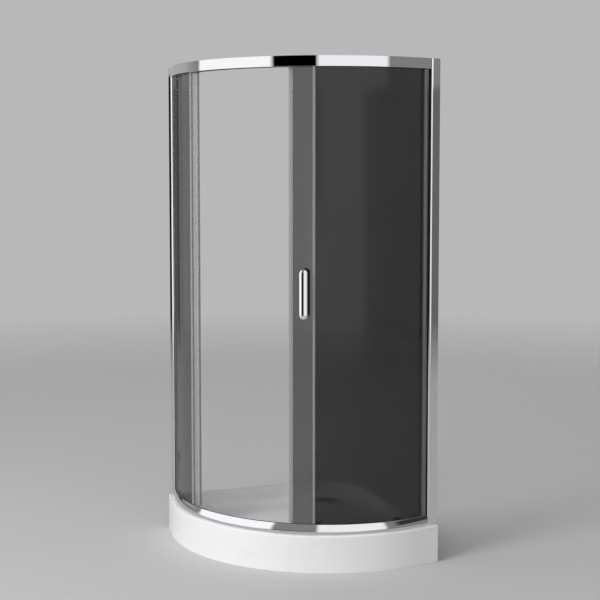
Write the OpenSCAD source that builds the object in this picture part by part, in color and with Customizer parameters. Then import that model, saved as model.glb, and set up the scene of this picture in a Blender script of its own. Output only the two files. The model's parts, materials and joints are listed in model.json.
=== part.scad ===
// Quarter round shower enclosure: one curved glass door slides behind two fixed curved panes,
// between chrome rails that stand on a white tray with its own curved front apron.
// Z is up and the floor is at zero. The corner of the room is towards +X and +Y, and the curved
// front faces -X and -Y. The origin is under the middle of the tray's bounding square.
// A place along the curved front is an angle about the front's upright axis: 0 degrees points
// to -X, 90 degrees points to -Y, so angles grow from the left pane to the right pane.

/* [Tray] */
// Width and depth of the tray along the two walls
tray_w = 900; // [880:5:920]
// Height of the tray and its apron
tray_h = 150; // [130:5:180]
// Radius of the curved apron in plan
tray_arc_r = 690; // [680:5:710]
// Straight end of the apron at each wall
tray_end_l = 60; // [50:2:70]
// Thickness of the tray shell
tray_wall = 5; // [4:0.5:6]
// Radius that rounds the top edge of the apron
tray_edge_r = 6; // [3:0.5:9]
// Ledge between the basin and the walls
ledge_w = 32; // [25:1:40]
// Ledge between the basin and the curved front
front_ledge_w = 78; // [74:1:90]
// Depth of the basin below the ledge
basin_depth = 45; // [30:1:55]
// Run of the sloping basin wall in plan
basin_slope_w = 42; // [30:1:55]
// Radius of the basin's corner towards the room corner
basin_corner_r = 150; // [130:5:180]
// Radius of the basin's two end corners
basin_end_r = 60; // [50:5:70]
// Depth of the skirt on the two wall sides
skirt_h = 38; // [30:1:45]
// Thickness of the support board under the basin floor
board_t = 12; // [10:1:16]

/* [Waste] */
// Distance of the waste from both walls
waste_offset = 210; // [200:5:230]
// Diameter of the waste hole in the tray
waste_hole_d = 90; // [86:1:94]
// Diameter of the loose chrome waste cover
waste_cover_d = 110; // [106:1:116]
// Outer diameter of the outlet spigot
outlet_d = 40; // [38:1:42]
// Length of the outlet spigot
outlet_l = 40; // [30:1:50]

/* [Frame] */
// Height of the whole enclosure above the floor
overall_h = 2050; // [1900:10:2150]
// Height of the top rail
top_rail_h = 42; // [40:1:48]
// Height of the bottom rail
bottom_rail_h = 43; // [41:1:48]
// Setback of the rails from the edge of the tray
rail_inset = 14; // [11:1:18]
// Depth of both rails from front to back
rail_depth = 46; // [45:1:50]
// Wall thickness of the rail extrusions
rail_wall = 1.6; // [1.4:0.1:2]
// Thickness of the rails' horizontal plates
rail_plate_t = 2; // [1.6:0.1:2.4]
// Radius of the bulge of the bottom rail's front
bottom_bulge_r = 130; // [124:2:160]
// Height of the upright foot of the bottom rail's front
bottom_foot_h = 11; // [8:1:14]
// Reach of the wall profiles from the wall
profile_reach = 41; // [38:1:45]
// Thickness of the wall profiles across the pane
profile_t = 34; // [33:1:38]
// Rounding of the wall profiles' nose
nose_r = 4; // [3:0.5:4.5]
// Radius of the screw holes through the wall profiles
wall_hole_r = 2.5; // [2:0.25:3]

/* [Glass] */
// Thickness of all three panes
glass_t = 6; // [5.5:0.25:6.5]
// Setback of the fixed panes from the face of the rails
pane_setback = 7; // [6.5:0.25:7.5]
// Gap between the fixed panes and the door
door_gap = 10; // [9.5:0.25:11]
// Angle of the left pane's free edge
left_pane_angle = 12; // [8:0.5:16]
// Angle of the right pane's free edge
right_pane_angle = 63.6; // [62:0.2:66]
// Angle that the strike seal reaches beyond the left pane
strike_angle = 2.4; // [2.2:0.1:3]
// Angle by which the closed door overlaps the right pane
overlap_angle = 1.1; // [0.9:0.1:2]
// Angle left between the open door and the right wall profile
open_gap_angle = 1.85; // [1.6:0.05:3]

/* [Handle] */
// Length of the handle bars
handle_l = 199; // [170:1:230]
// Width of the handle bars
handle_w = 34; // [30:1:38]
// Thickness of the handle bars
handle_t = 14; // [12:0.5:18]
// Radius of the bulged face of the handle bars
handle_face_r = 19; // [18.5:0.5:24]
// Finger gap between a bar and the glass
finger_gap = 28; // [24:1:36]
// Height of the handle's middle above the floor
handle_z = 1117; // [1000:5:1250]
// Distance between the two posts of a handle
handle_pitch = 145; // [120:1:160]
// Angle from the door's leading edge to the middle of the handle
handle_angle = 5.7; // [5:0.1:6]

/* [Rollers] */
// Angle from the door's middle to each pair of rollers
roller_angle = 14.5; // [12:0.5:18]
// Distance between the two wheels of a hanger
wheel_pitch = 36; // [30:1:44]
// Radius of the upper wheels' running groove
top_root_r = 9; // [8:0.25:9.5]
// Radius of the lower wheels' running groove
low_root_r = 7; // [6:0.25:7.5]
// Depth of the groove between the wheels' flanges
groove_d = 2; // [1.5:0.25:2.5]
// Width of the wheels
wheel_w = 7; // [6:0.25:7.5]
// Width of the rib that the wheels run on
rib_w = 3; // [2.5:0.1:3.2]
// Radius of the wheel axles
axle_r = 3; // [2:0.1:3.5]

/* [Hidden] */

// Fineness of round shapes
$fn = 96;
// Overrun of every cut
cut = 1;
// Clearance between pieces that move past each other
clear = 0.3;
// Radial clearance of a wheel on its axle and of a rod in its hole
fit = 0.05;
// Gap between a soft seal and the curved glass it lies against
soft_gap = 0.2;

// Finishes
chrome_c = [0.80, 0.81, 0.83];
steel_c = [0.62, 0.63, 0.65];
glass_c = [0.30, 0.32, 0.33, 0.45];
acrylic_c = [0.95, 0.95, 0.95];
clear_c = [0.85, 0.87, 0.88, 0.60];
black_c = [0.06, 0.06, 0.07];
grey_c = [0.35, 0.36, 0.37];
board_c = [0.72, 0.58, 0.40];
white_c = [0.88, 0.88, 0.86];

// Plan of the front: the arc's centre lies the same distance from both walls
span_sum = tray_w + tray_end_l;
span_rest = tray_w * tray_w + tray_end_l * tray_end_l - tray_arc_r * tray_arc_r;
arc_wall = (span_sum - sqrt(span_sum * span_sum - 2 * span_rest)) / 2;
half_w = (arc_wall + tray_arc_r) / 2;
corner = half_w;
arc_c = corner - arc_wall;
tray_left = corner - tray_w;

// Heights
basin_z = tray_h - basin_depth;
board_z = basin_z - tray_wall - board_t;
rail_top_z = overall_h;
top_rail_z = overall_h - top_rail_h;
rail_base_z = tray_h;
low_rail_top_z = rail_base_z + bottom_rail_h;

// Radii of the layers, from the face of the rails inwards
face_r = tray_arc_r - rail_inset;
back_r = face_r - rail_depth;
pane_out_r = face_r - pane_setback;
pane_in_r = pane_out_r - glass_t;
gasket_t = 2;
slot_out_r = pane_out_r + gasket_t;
slot_in_r = pane_in_r - gasket_t;
web_in_r = slot_in_r - rail_wall;
door_out_r = pane_in_r - door_gap;
door_in_r = door_out_r - glass_t;
door_mid_r = (door_out_r + door_in_r) / 2;

// Hanger and wheel stack on the inner side of the door
hanger_t = 2.7;
wheel_face_r = door_in_r - hanger_t - clear;
track_r = wheel_face_r - wheel_w / 2;
wheel_back_r = wheel_face_r - wheel_w;
axle_head_t = 2;
axle_head_r = 1.5 * axle_r;

// Angles at which a layer of radius r meets the nose of the left and right wall profiles
function left_end(r) = -asin((arc_wall - profile_reach) / r);
function right_end(r) = 90 - left_end(r);
function left_depth(r, u) = -asin((arc_wall - u) / r);
function arc_angle(width, r) = width / r * 180 / PI;

// Travel of the door: the model shows it fully open
seal_t = 9;
strike_t = left_pane_angle + strike_angle;
closed_lead_t = strike_t + arc_angle(clear, door_mid_r);
door_span = right_pane_angle + overlap_angle - closed_lead_t;
door_trail_t = right_end(door_mid_r) - open_gap_angle;
door_lead_t = door_trail_t - door_span;
door_travel = door_lead_t - closed_lead_t;
door_glass_lead_t = door_lead_t + arc_angle(seal_t, door_mid_r);
trail_seal_t = 4;
door_glass_trail_t = door_trail_t - arc_angle(trail_seal_t, door_mid_r);
door_middle_t = (door_lead_t + door_trail_t) / 2;
handle_at = door_lead_t + handle_angle;

// Wall profiles: u runs from the wall along the pane, v from the outer face inwards
profile_face = arc_wall + sqrt(face_r * face_r - pow(arc_wall - profile_reach, 2));
profile_wall = 2;
nose_depth = 11;
side_gap = 0.3;
side_wall = 1.6;
side_back = 8;
groove_depth = 17;
pane_bite = 15;
groove_v0 = 5;
groove_v1 = 20.5;
chamber_v0 = 22.5;
nose_wall = 3.5;

// Places the children at an angle on the front, with local +X pointing outwards
module on_arc(t) {
    translate([arc_c, arc_c, 0])
        rotate([0, 0, 180 + t])
            children();
}

// Sweeps a section of radius and height from angle t0 to t1
module sweep(t0, t1) {
    on_arc(t0)
        rotate_extrude(angle = t1 - t0, $fn = 360)
            children();
}

// Rectangle of a section, given by its two radii and two heights
module band(r0, r1, z0, z1) {
    translate([min(r0, r1), z0])
        square([abs(r1 - r0), z1 - z0]);
}

// Curved plate between two radii, two heights and two angles
module plate(r0, r1, z0, z1, t0, t1) {
    sweep(t0, t1)
        band(r0, r1, z0, z1);
}

// Plan of a curved plate
module sector(r0, r1, t0, t1) {
    far = 2 * r1;
    translate([arc_c, arc_c])
        rotate(180 + t0)
            intersection() {
                difference() {
                    circle(r = r1, $fn = 360);
                    circle(r = r0, $fn = 360);
                }
                polygon([[0, 0], [far, 0], [far * cos(t1 - t0), far * sin(t1 - t0)]]);
            }
}

// Mirrors the right end of the enclosure to the left end
module to_left() {
    mirror([1, -1, 0])
        children();
}

// Cylinder along the local radial direction, from radius r0 to radius r1
module radial_rod(r, r0, r1, z) {
    translate([min(r0, r1), 0, z])
        rotate([0, 90, 0])
            cylinder(r = r, h = abs(r1 - r0));
}

// Tray

// Quarter plan with a round front, kept off the walls, with a rounded corner towards the room corner
module quadrant(front_r, wall_off, round_r) {
    limit = corner - wall_off;
    intersection() {
        translate([arc_c, arc_c])
            circle(r = front_r, $fn = 120);
        union() {
            difference() {
                translate([limit - 2 * corner, limit - 2 * corner])
                    square(2 * corner);
                translate([limit - round_r, limit - round_r])
                    square(round_r + cut);
            }
            translate([limit - round_r, limit - round_r])
                circle(r = round_r);
        }
    }
}

// Plan of the tray, drawn in by one inset at the apron and by another at the walls
module tray_plan(inset, wall_inset) {
    intersection() {
        translate([arc_c, arc_c])
            circle(r = tray_arc_r - inset, $fn = 360);
        translate([-2 * corner, -2 * corner])
            square(3 * corner - wall_inset);
    }
    for (turn = [0, 1])
        mirror([turn, -turn])
            translate([tray_left + inset, corner - tray_end_l])
                square([tray_end_l, tray_end_l - wall_inset]);
}

// Plan of the basin at the ledge, grown outwards by an amount
module basin_plan(grow) {
    offset(r = basin_end_r + grow, $fn = 48)
        offset(delta = -basin_end_r)
            quadrant(tray_arc_r - front_ledge_w, ledge_w, basin_corner_r, $fn = 48);
}

// Basin solid with sloping walls, from its floor up to its rim and a little on
module basin_solid(grow, floor_z, rim_z, rise) {
    hull() {
        translate([0, 0, rim_z])
            linear_extrude(rise)
                basin_plan(grow);
        translate([0, 0, floor_z])
            linear_extrude(rise)
                basin_plan(grow - basin_slope_w);
    }
}

// What the rounded top edge takes off, in plan depth and height
module edge_waste(at, way) {
    difference() {
        translate([min(at, at - way * tray_edge_r) - (way < 0 ? cut : 0), tray_h - tray_edge_r])
            square([tray_edge_r + cut, tray_edge_r + cut]);
        translate([at - way * tray_edge_r, tray_h - tray_edge_r])
            circle(r = tray_edge_r);
    }
}

apron_return_w = 30;
edge_stop = 3;
waste_at = corner - waste_offset;
module tray_shell() {
    arc_t0 = left_depth(tray_arc_r, tray_end_l);
    color(acrylic_c)
        difference() {
            union() {
                difference() {
                    linear_extrude(tray_h)
                        tray_plan(0, 0);
                    translate([0, 0, -cut])
                        linear_extrude(tray_h - tray_wall + cut)
                            tray_plan(tray_wall, tray_wall);
                    for (turn = [0, 1])
                        mirror([turn, -turn, 0])
                            translate([corner - tray_wall - cut, tray_left + apron_return_w, -cut])
                                cube([tray_wall + 2 * cut, tray_w, tray_h - skirt_h + cut]);
                }
                basin_solid(tray_wall, basin_z - tray_wall, tray_h - tray_wall, tray_wall / 2);
            }
            basin_solid(0, basin_z, tray_h, cut);
            translate([waste_at, waste_at, 0])
                cylinder(r = waste_hole_d / 2, h = tray_h);
            sweep(arc_t0 + arc_angle(edge_stop, tray_arc_r), 90 - arc_t0 - arc_angle(edge_stop, tray_arc_r))
                edge_waste(tray_arc_r, 1);
            for (turn = [0, 1])
                mirror([turn, -turn, 0])
                    translate([0, corner + cut, 0])
                        rotate([90, 0, 0])
                            linear_extrude(tray_end_l - edge_stop + cut)
                                edge_waste(tray_left, -1);
        }
}

board_margin = 14;
board_hole_r = 64;
module support_board() {
    inset = basin_slope_w + board_margin;
    color(board_c)
        translate([0, 0, board_z])
            difference() {
                linear_extrude(board_t)
                    quadrant(tray_arc_r - front_ledge_w - inset, ledge_w + inset, basin_corner_r - inset);
                translate([waste_at, waste_at, -cut])
                    cylinder(r = board_hole_r, h = board_t + 2 * cut);
                at_feet(-cut)
                    cylinder(r = foot_rod_r + clear, h = board_t - foot_rod_cover + cut);
            }
}

// Adjustable feet, at shares of the tray's width from the two walls
foot_shares = [[0.16, 0.78], [0.78, 0.16], [0.145, 0.42], [0.42, 0.145], [0.62, 0.62]];
foot_rod_r = 5;
foot_rod_cover = 3;
foot_plate_w = 56;
foot_plate_t = 3;
foot_nut_r = 9.2;
foot_nut_h = 8;
foot_pad_r = 25;
foot_pad_h = 5;
foot_boss_r = 9;
foot_boss_h = 14;
foot_rod_z = 6;
module at_feet(z) {
    for (share = foot_shares)
        translate([corner - share[0] * tray_w, corner - share[1] * tray_w, z])
            children();
}
module foot_plates() {
    color(steel_c)
        at_feet(board_z - foot_plate_t)
            difference() {
                translate([-foot_plate_w / 2, -foot_plate_w / 2, 0])
                    cube([foot_plate_w, foot_plate_w, foot_plate_t]);
                translate([0, 0, -cut])
                    cylinder(r = foot_rod_r + fit, h = foot_plate_t + 2 * cut);
            }
}
module foot_nuts() {
    color(steel_c)
        at_feet(board_z - foot_plate_t - foot_nut_h)
            difference() {
                cylinder(r = foot_nut_r, h = foot_nut_h, $fn = 6);
                translate([0, 0, -cut])
                    cylinder(r = foot_rod_r + fit, h = foot_nut_h + 2 * cut);
            }
}
module foot_rods() {
    color(steel_c)
        at_feet(foot_rod_z)
            cylinder(r = foot_rod_r, h = board_z + board_t - foot_rod_cover - foot_rod_z);
}
module foot_pads() {
    color(black_c)
        at_feet(0)
            difference() {
                union() {
                    cylinder(r = foot_pad_r, h = foot_pad_h);
                    cylinder(r = foot_boss_r, h = foot_boss_h);
                }
                translate([0, 0, foot_rod_z])
                    cylinder(r = foot_rod_r + fit, h = foot_boss_h);
            }
}

// Waste and trap
neck_clear = 0.5;
neck_r = waste_hole_d / 2 - neck_clear;
neck_wall = 2.5;
flange_lip_w = 8;
flange_lip_r = waste_hole_d / 2 + flange_lip_w;
flange_t = 2;
seat_drop = 10;
seat_w = 2.5;
seat_t = 2;
neck_l = 18;
trap_gasket_t = 3;
trap_flange_t = 4;
trap_flange_w = 12;
trap_wall = 3;
trap_base_z = 12;
outlet_drop = 39;
outlet_wall = 2.4;
outlet_collar_w = 6;
outlet_collar_t = 4;
dip_rim_t = 3;
dip_r = 28;
dip_wall = 2.5;
dip_lift = 9;
trap_top_z = basin_z - tray_wall - trap_gasket_t;
trap_in_r = neck_r + neck_clear;
outlet_z = trap_top_z - outlet_drop;
module at_waste() {
    translate([waste_at, waste_at, 0])
        children();
}
module waste_flange() {
    color(chrome_c)
        at_waste()
            rotate_extrude() {
                band(neck_r - neck_wall, flange_lip_r, basin_z, basin_z + flange_t);
                band(neck_r - neck_wall, neck_r, basin_z - neck_l, basin_z + flange_t);
                band(neck_r - neck_wall - seat_w, neck_r, basin_z - seat_drop - seat_t, basin_z - seat_drop);
            }
}
module waste_gasket() {
    color(black_c)
        at_waste()
            rotate_extrude()
                band(trap_in_r, trap_in_r + trap_flange_w, trap_top_z, trap_top_z + trap_gasket_t);
}
module at_outlet() {
    at_waste()
        translate([0, 0, outlet_z])
            rotate([0, 90, 0])
                children();
}
module waste_body() {
    outlet_from = trap_in_r + trap_wall + outlet_collar_w;
    color(white_c)
        difference() {
            union() {
                at_waste()
                    rotate_extrude() {
                        band(0, trap_in_r + trap_wall, trap_base_z, trap_top_z);
                        band(0, trap_in_r + trap_flange_w, trap_top_z - trap_flange_t, trap_top_z);
                    }
                at_outlet()
                    cylinder(r = outlet_d / 2 + outlet_collar_t, h = outlet_from);
                at_outlet()
                    cylinder(r = outlet_d / 2, h = outlet_from + outlet_l);
            }
            at_waste()
                rotate_extrude()
                    band(0, trap_in_r, trap_base_z + trap_wall, trap_top_z + cut);
            at_outlet()
                cylinder(r = outlet_d / 2 - outlet_wall, h = outlet_from + outlet_l + cut);
        }
}
module dip_tube() {
    rim_z = basin_z - seat_drop;
    color(white_c)
        at_waste()
            rotate_extrude() {
                band(dip_r - dip_wall, neck_r - neck_wall - clear, rim_z, rim_z + dip_rim_t);
                band(dip_r - dip_wall, dip_r, trap_base_z + dip_lift, rim_z + dip_rim_t);
            }
}

// Loose domed cover that stands on the rim of the dip tube by three legs
cover_dome_r = 300;
cover_h = 8;
cover_t = 2;
cover_gap = 5;
cover_legs = 3;
cover_leg_t = 2;
cover_leg_w = 10;
module cover_dome(drop) {
    z1 = basin_z + cover_gap;
    intersection() {
        band(0, waste_cover_d / 2 - drop, z1 - drop, z1 + cover_h - drop);
        translate([0, z1 + cover_h - drop - cover_dome_r])
            circle(r = cover_dome_r, $fn = 360);
    }
}
module waste_cover() {
    leg_z = basin_z - seat_drop + dip_rim_t + clear;
    leg_r = neck_r - neck_wall - clear;
    color(chrome_c)
        at_waste() {
            rotate_extrude()
                difference() {
                    cover_dome(0);
                    cover_dome(cover_t);
                }
            for (leg = [1:cover_legs])
                rotate([0, 0, leg * 360 / cover_legs])
                    translate([leg_r - cover_leg_w, -cover_leg_t / 2, leg_z])
                        cube([cover_leg_w, cover_leg_t, basin_z + cover_gap + cover_h / 2 - leg_z]);
        }
}

// Rails: extruded sections swept round the front between the two wall profiles
port_setback = 24;
port_w = 5.2;
port_h = 4.8;
port_slot_w = 2.2;
port_hole_r = 1.5;
port_at_r = face_r - port_setback;
top_port_z = rail_top_z - rail_plate_t - port_h / 2;
low_port_z = rail_base_z + rail_plate_t + port_h / 2;
rib_h = 5;
low_rib_h = 7;
rib_chamfer = 0.7;
low_web_h = 36;
low_back_h = 16;
front_lip_t = 1.5;
track_z = top_rail_z + rail_plate_t + rib_h;
low_track_z = rail_base_z + rail_plate_t + low_rib_h;
end_spare_angle = 2;

// Cuts the children off at the noses of both wall profiles
module between_noses() {
    intersection() {
        children();
        translate([-2 * corner, -2 * corner, 0])
            cube([3 * corner - profile_reach, 3 * corner - profile_reach, overall_h + cut]);
    }
}
module sweep_rail() {
    between_noses()
        sweep(left_end(back_r) - end_spare_angle, right_end(back_r) + end_spare_angle)
            children();
}

// Pair of lips that an end screw bites between
module screw_port(z) {
    for (side = [-1, 1])
        band(port_at_r + side * port_slot_w / 2, port_at_r + side * port_w / 2, z - port_h / 2, z + port_h / 2);
}
module chamfered_rib(z0, z1) {
    side = rib_w / 2;
    flat = side - rib_chamfer;
    polygon([[track_r - side, z0], [track_r + side, z0], [track_r + side, z1 - rib_chamfer],
        [track_r + flat, z1], [track_r - flat, z1], [track_r - side, z1 - rib_chamfer]]);
}
module top_rail_section() {
    band(face_r - rail_wall, face_r, top_rail_z, rail_top_z);
    band(slot_out_r, face_r, top_rail_z, top_rail_z + rail_plate_t);
    band(slot_out_r, slot_out_r + rail_wall, top_rail_z, rail_top_z);
    band(web_in_r, slot_in_r, top_rail_z, rail_top_z);
    band(back_r, face_r, rail_top_z - rail_plate_t, rail_top_z);
    band(back_r, back_r + rail_wall, top_rail_z, rail_top_z);
    band(back_r, track_r + rib_w / 2, top_rail_z, top_rail_z + rail_plate_t);
    chamfered_rib(top_rail_z, track_z);
    screw_port(top_port_z);
}
module top_rail() {
    color(chrome_c)
        difference() {
            sweep_rail()
                top_rail_section();
            end_screw_holes(top_port_z);
        }
}

// Region inside the bulged front of the bottom rail, drawn in by an inset
module bulge(inset) {
    foot_z = rail_base_z + bottom_foot_h;
    band(back_r, face_r - inset, rail_base_z, foot_z);
    intersection() {
        band(back_r, face_r, foot_z, low_rail_top_z - inset / 2);
        translate([face_r - bottom_bulge_r, foot_z])
            circle(r = bottom_bulge_r - inset, $fn = 360);
    }
}
module bottom_rail_section() {
    difference() {
        union() {
            difference() {
                bulge(0);
                bulge(rail_wall);
            }
            intersection() {
                bulge(0);
                union() {
                    band(slot_out_r, slot_out_r + rail_wall, rail_base_z, low_rail_top_z);
                    band(web_in_r, slot_in_r, rail_base_z, rail_base_z + low_web_h);
                    band(back_r, face_r, rail_base_z, rail_base_z + rail_plate_t);
                    band(back_r, back_r + rail_wall, rail_base_z, rail_base_z + low_back_h);
                }
            }
            chamfered_rib(rail_base_z, low_track_z);
            screw_port(low_port_z);
        }
        band(back_r - cut, slot_out_r, rail_base_z + low_back_h, low_rail_top_z + cut);
    }
    band(web_in_r, slot_in_r, rail_base_z, rail_base_z + low_web_h);
}
drain_shares = [0.2, 0.4, 0.6, 0.8];
drain_slot_w = 24;
drain_slot_h = 4;
module bottom_rail() {
    color(chrome_c)
        difference() {
            sweep_rail()
                bottom_rail_section();
            for (share = drain_shares)
                on_arc(left_end(back_r) + share * (right_end(back_r) - left_end(back_r)))
                    translate([back_r - cut, -drain_slot_w / 2, rail_base_z + rail_plate_t])
                        cube([rail_wall + 2 * cut, drain_slot_w, drain_slot_h]);
            end_screw_holes(low_port_z);
        }
}

// Wall profiles: a channel screwed to the wall and a side profile that slides in it

// Right end of the front, with local X running from the wall and local Y from the outer face inwards
module at_right_wall() {
    translate([corner, corner - profile_face, 0])
        mirror([1, 0, 0])
            children();
}
module upright(z0, z1) {
    translate([0, 0, z0])
        linear_extrude(z1 - z0)
            children();
}

// Rectangle given by its two near and two far edges
module patch(u0, u1, v0, v1) {
    translate([u0, v0])
        square([u1 - u0, v1 - v0]);
}
wall_screw_shares = [0.04, 0.27, 0.5, 0.73, 0.96];
clip_shares = [0.08, 0.5, 0.92];
leg_end = profile_reach - nose_depth - side_gap;
end_screw_r = port_hole_r - fit;
end_screw_head_r = 2.4;
end_screw_head_h = 2;
end_screw_bite = 8;
end_screw_v = profile_face - arc_wall - sqrt(port_at_r * port_at_r - pow(arc_wall - profile_reach, 2));
clip_u = 19;
clip_r = 2;
clip_l = 7;
clip_head_r = 4;
clip_head_h = 2;
clip_cap_r = 5.5;
clip_cap_h = 3;
module at_shares(shares) {
    for (share = shares)
        translate([0, 0, tray_h + share * (overall_h - tray_h)])
            children();
}
module wall_profile() {
    difference() {
        upright(tray_h, overall_h)
            difference() {
                patch(0, leg_end, 0, profile_t);
                patch(profile_wall, leg_end + cut, profile_wall, profile_t - profile_wall);
            }
        at_shares(wall_screw_shares)
            translate([-cut, profile_t / 2, 0])
                rotate([0, 90, 0])
                    cylinder(r = wall_hole_r, h = profile_wall + 2 * cut);
        at_shares(clip_shares)
            translate([clip_u, profile_t + cut, 0])
                rotate([90, 0, 0])
                    cylinder(r = clip_r, h = profile_wall + 2 * cut);
    }
}
module nose_outline() {
    patch(profile_reach - nose_depth, profile_reach - nose_r, 0, profile_t);
    patch(profile_reach - nose_depth, profile_reach, nose_r, profile_t - nose_r);
    for (v = [nose_r, profile_t - nose_r])
        translate([profile_reach - nose_r, v])
            circle(r = nose_r);
}
module side_profile() {
    v0 = profile_wall + side_gap;
    v1 = profile_t - v0;
    groove_u = profile_reach - groove_depth;
    difference() {
        upright(tray_h, overall_h)
            difference() {
                union() {
                    patch(side_back, profile_reach - nose_depth, v0, v1);
                    nose_outline();
                }
                patch(groove_u, profile_reach + cut, groove_v0, groove_v1);
                patch(side_back + side_wall, groove_u - side_wall, v0 + side_wall, v1 - side_wall);
                patch(groove_u, profile_reach - nose_wall, chamber_v0, v1 - side_wall);
            }
        at_shares(clip_shares)
            translate([clip_u, profile_t + cut, 0])
                rotate([90, 0, 0])
                    cylinder(r = clip_r, h = profile_t / 2);
        for (z = [low_port_z, top_port_z])
            translate([profile_reach - nose_wall - cut, end_screw_v, z])
                rotate([0, 90, 0])
                    cylinder(r = end_screw_r, h = nose_wall + 2 * cut);
    }
}
module left_wall_profile() {
    color(chrome_c)
        to_left()
            at_right_wall()
                wall_profile();
}
module right_wall_profile() {
    color(chrome_c)
        at_right_wall()
            wall_profile();
}
module left_side_profile() {
    color(chrome_c)
        to_left()
            at_right_wall()
                side_profile();
}
module right_side_profile() {
    color(chrome_c)
        at_right_wall()
            side_profile();
}

// Straight holes for the end screws in both ends of a rail
module end_screw_holes(z) {
    at_both_walls()
        translate([profile_reach - cut, end_screw_v, z])
            rotate([0, 90, 0])
                cylinder(r = port_hole_r, h = cut + end_screw_bite + clear);
}

// Places the children at both ends of the front
module at_both_walls() {
    at_right_wall()
        children();
    to_left()
        at_right_wall()
            children();
}
module profile_screws() {
    color(steel_c)
        at_both_walls()
            at_shares(clip_shares)
                translate([clip_u, profile_t, 0])
                    rotate([90, 0, 0]) {
                        cylinder(r = clip_r, h = clip_l);
                        translate([0, 0, -clip_head_h])
                            cylinder(r = clip_head_r, h = clip_head_h);
                    }
}
module profile_screw_caps() {
    color(white_c)
        at_both_walls()
            at_shares(clip_shares)
                translate([clip_u, profile_t, 0])
                    rotate([-90, 0, 0])
                        difference() {
                            cylinder(r = clip_cap_r, h = clip_cap_h);
                            translate([0, 0, -cut])
                                cylinder(r = clip_head_r, h = clip_head_h + cut);
                        }
}
module rail_end_screws() {
    color(steel_c)
        at_both_walls()
            for (z = [low_port_z, top_port_z])
                translate([profile_reach - nose_wall, end_screw_v, z])
                    rotate([0, 90, 0]) {
                        cylinder(r = end_screw_r, h = nose_wall + end_screw_bite);
                        translate([0, 0, -end_screw_head_h])
                            cylinder(r = end_screw_head_r, h = end_screw_head_h);
                    }
}

// Fixed panes and what holds them
pane_foot_gap = 6;
pane_head_gap = 6;
glass_bottom_z = rail_base_z + pane_foot_gap;
glass_top_z = rail_top_z - pane_head_gap;
lip_l = 12;
block_angle = 4;
pane_shares = [0.2, 0.8];
filler_h = 10;
filler_t = 1.6;

// Keeps what lies farther than a reach from both walls
module off_walls(reach) {
    intersection() {
        children();
        translate([-2 * corner, -2 * corner, 0])
            cube([3 * corner - reach, 3 * corner - reach, overall_h + cut]);
    }
}
module pane(t0, t1) {
    off_walls(profile_reach - pane_bite)
        plate(pane_in_r, pane_out_r, glass_bottom_z, glass_top_z, t0, t1);
}
module left_fixed_glass() {
    color(glass_c)
        pane(left_depth(pane_in_r, 0), left_pane_angle);
}
module right_fixed_glass() {
    color(glass_c)
        pane(right_pane_angle, 90 - left_depth(pane_in_r, 0));
}
module glass_seal() {
    intersection() {
        for (r = [slot_in_r, pane_out_r + soft_gap])
            plate(r, r + gasket_t - soft_gap, tray_h, overall_h, 90, 90 - left_depth(pane_in_r, 0));
        at_right_wall()
            upright(tray_h, overall_h)
                patch(profile_reach - pane_bite, profile_reach, groove_v0, groove_v1);
    }
}
module left_glass_seal() {
    color(black_c)
        to_left()
            glass_seal();
}
module right_glass_seal() {
    color(black_c)
        glass_seal();
}

// Both panes' gaskets in a rail, as a pair of strips between two heights for each face of the glass
module pane_gaskets(in_z0, in_z1, out_z0, out_z1) {
    between_noses()
        for (ends = [[left_depth(pane_in_r, 0), left_pane_angle],
                     [right_pane_angle, 90 - left_depth(pane_in_r, 0)]])
            sweep(ends[0], ends[1]) {
                band(slot_in_r, pane_in_r, in_z0, in_z1);
                band(pane_out_r, slot_out_r, out_z0, out_z1);
            }
}
module top_gaskets() {
    color(black_c)
        pane_gaskets(top_rail_z, top_rail_z + lip_l, top_rail_z, top_rail_z + lip_l);
}
module bottom_gaskets() {
    web_top = rail_base_z + low_web_h;
    color(black_c)
        pane_gaskets(web_top - lip_l, web_top, low_rail_top_z - lip_l, low_rail_top_z);
}
module setting_blocks() {
    color(grey_c)
        for (ends = [[left_end(pane_in_r), left_pane_angle], [right_pane_angle, right_end(pane_in_r)]])
            for (share = pane_shares) {
                t = ends[0] + share * (ends[1] - ends[0]);
                plate(pane_in_r, pane_out_r, rail_base_z + rail_plate_t, glass_bottom_z,
                    t - block_angle / 2, t + block_angle / 2);
            }
}

// Strips that close the empty glass slots of both rails between the two panes
module slot_fillers() {
    web_top = rail_base_z + low_web_h;
    t0 = left_pane_angle + arc_angle(clip_wall + clear, pane_in_r);
    t1 = right_pane_angle - arc_angle(clip_wall + clear, pane_in_r);
    color(grey_c)
        sweep(t0, t1)
            for (way = [0, 1]) {
                z0 = way == 0 ? web_top - filler_h : top_rail_z;
                shelf = way == 0 ? web_top - filler_t : top_rail_z;
                band(slot_in_r, slot_out_r, shelf, shelf + filler_t);
                band(slot_in_r, slot_in_r + filler_t, z0, z0 + filler_h);
                band(slot_out_r - filler_t, slot_out_r, z0, z0 + filler_h);
            }
}

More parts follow.
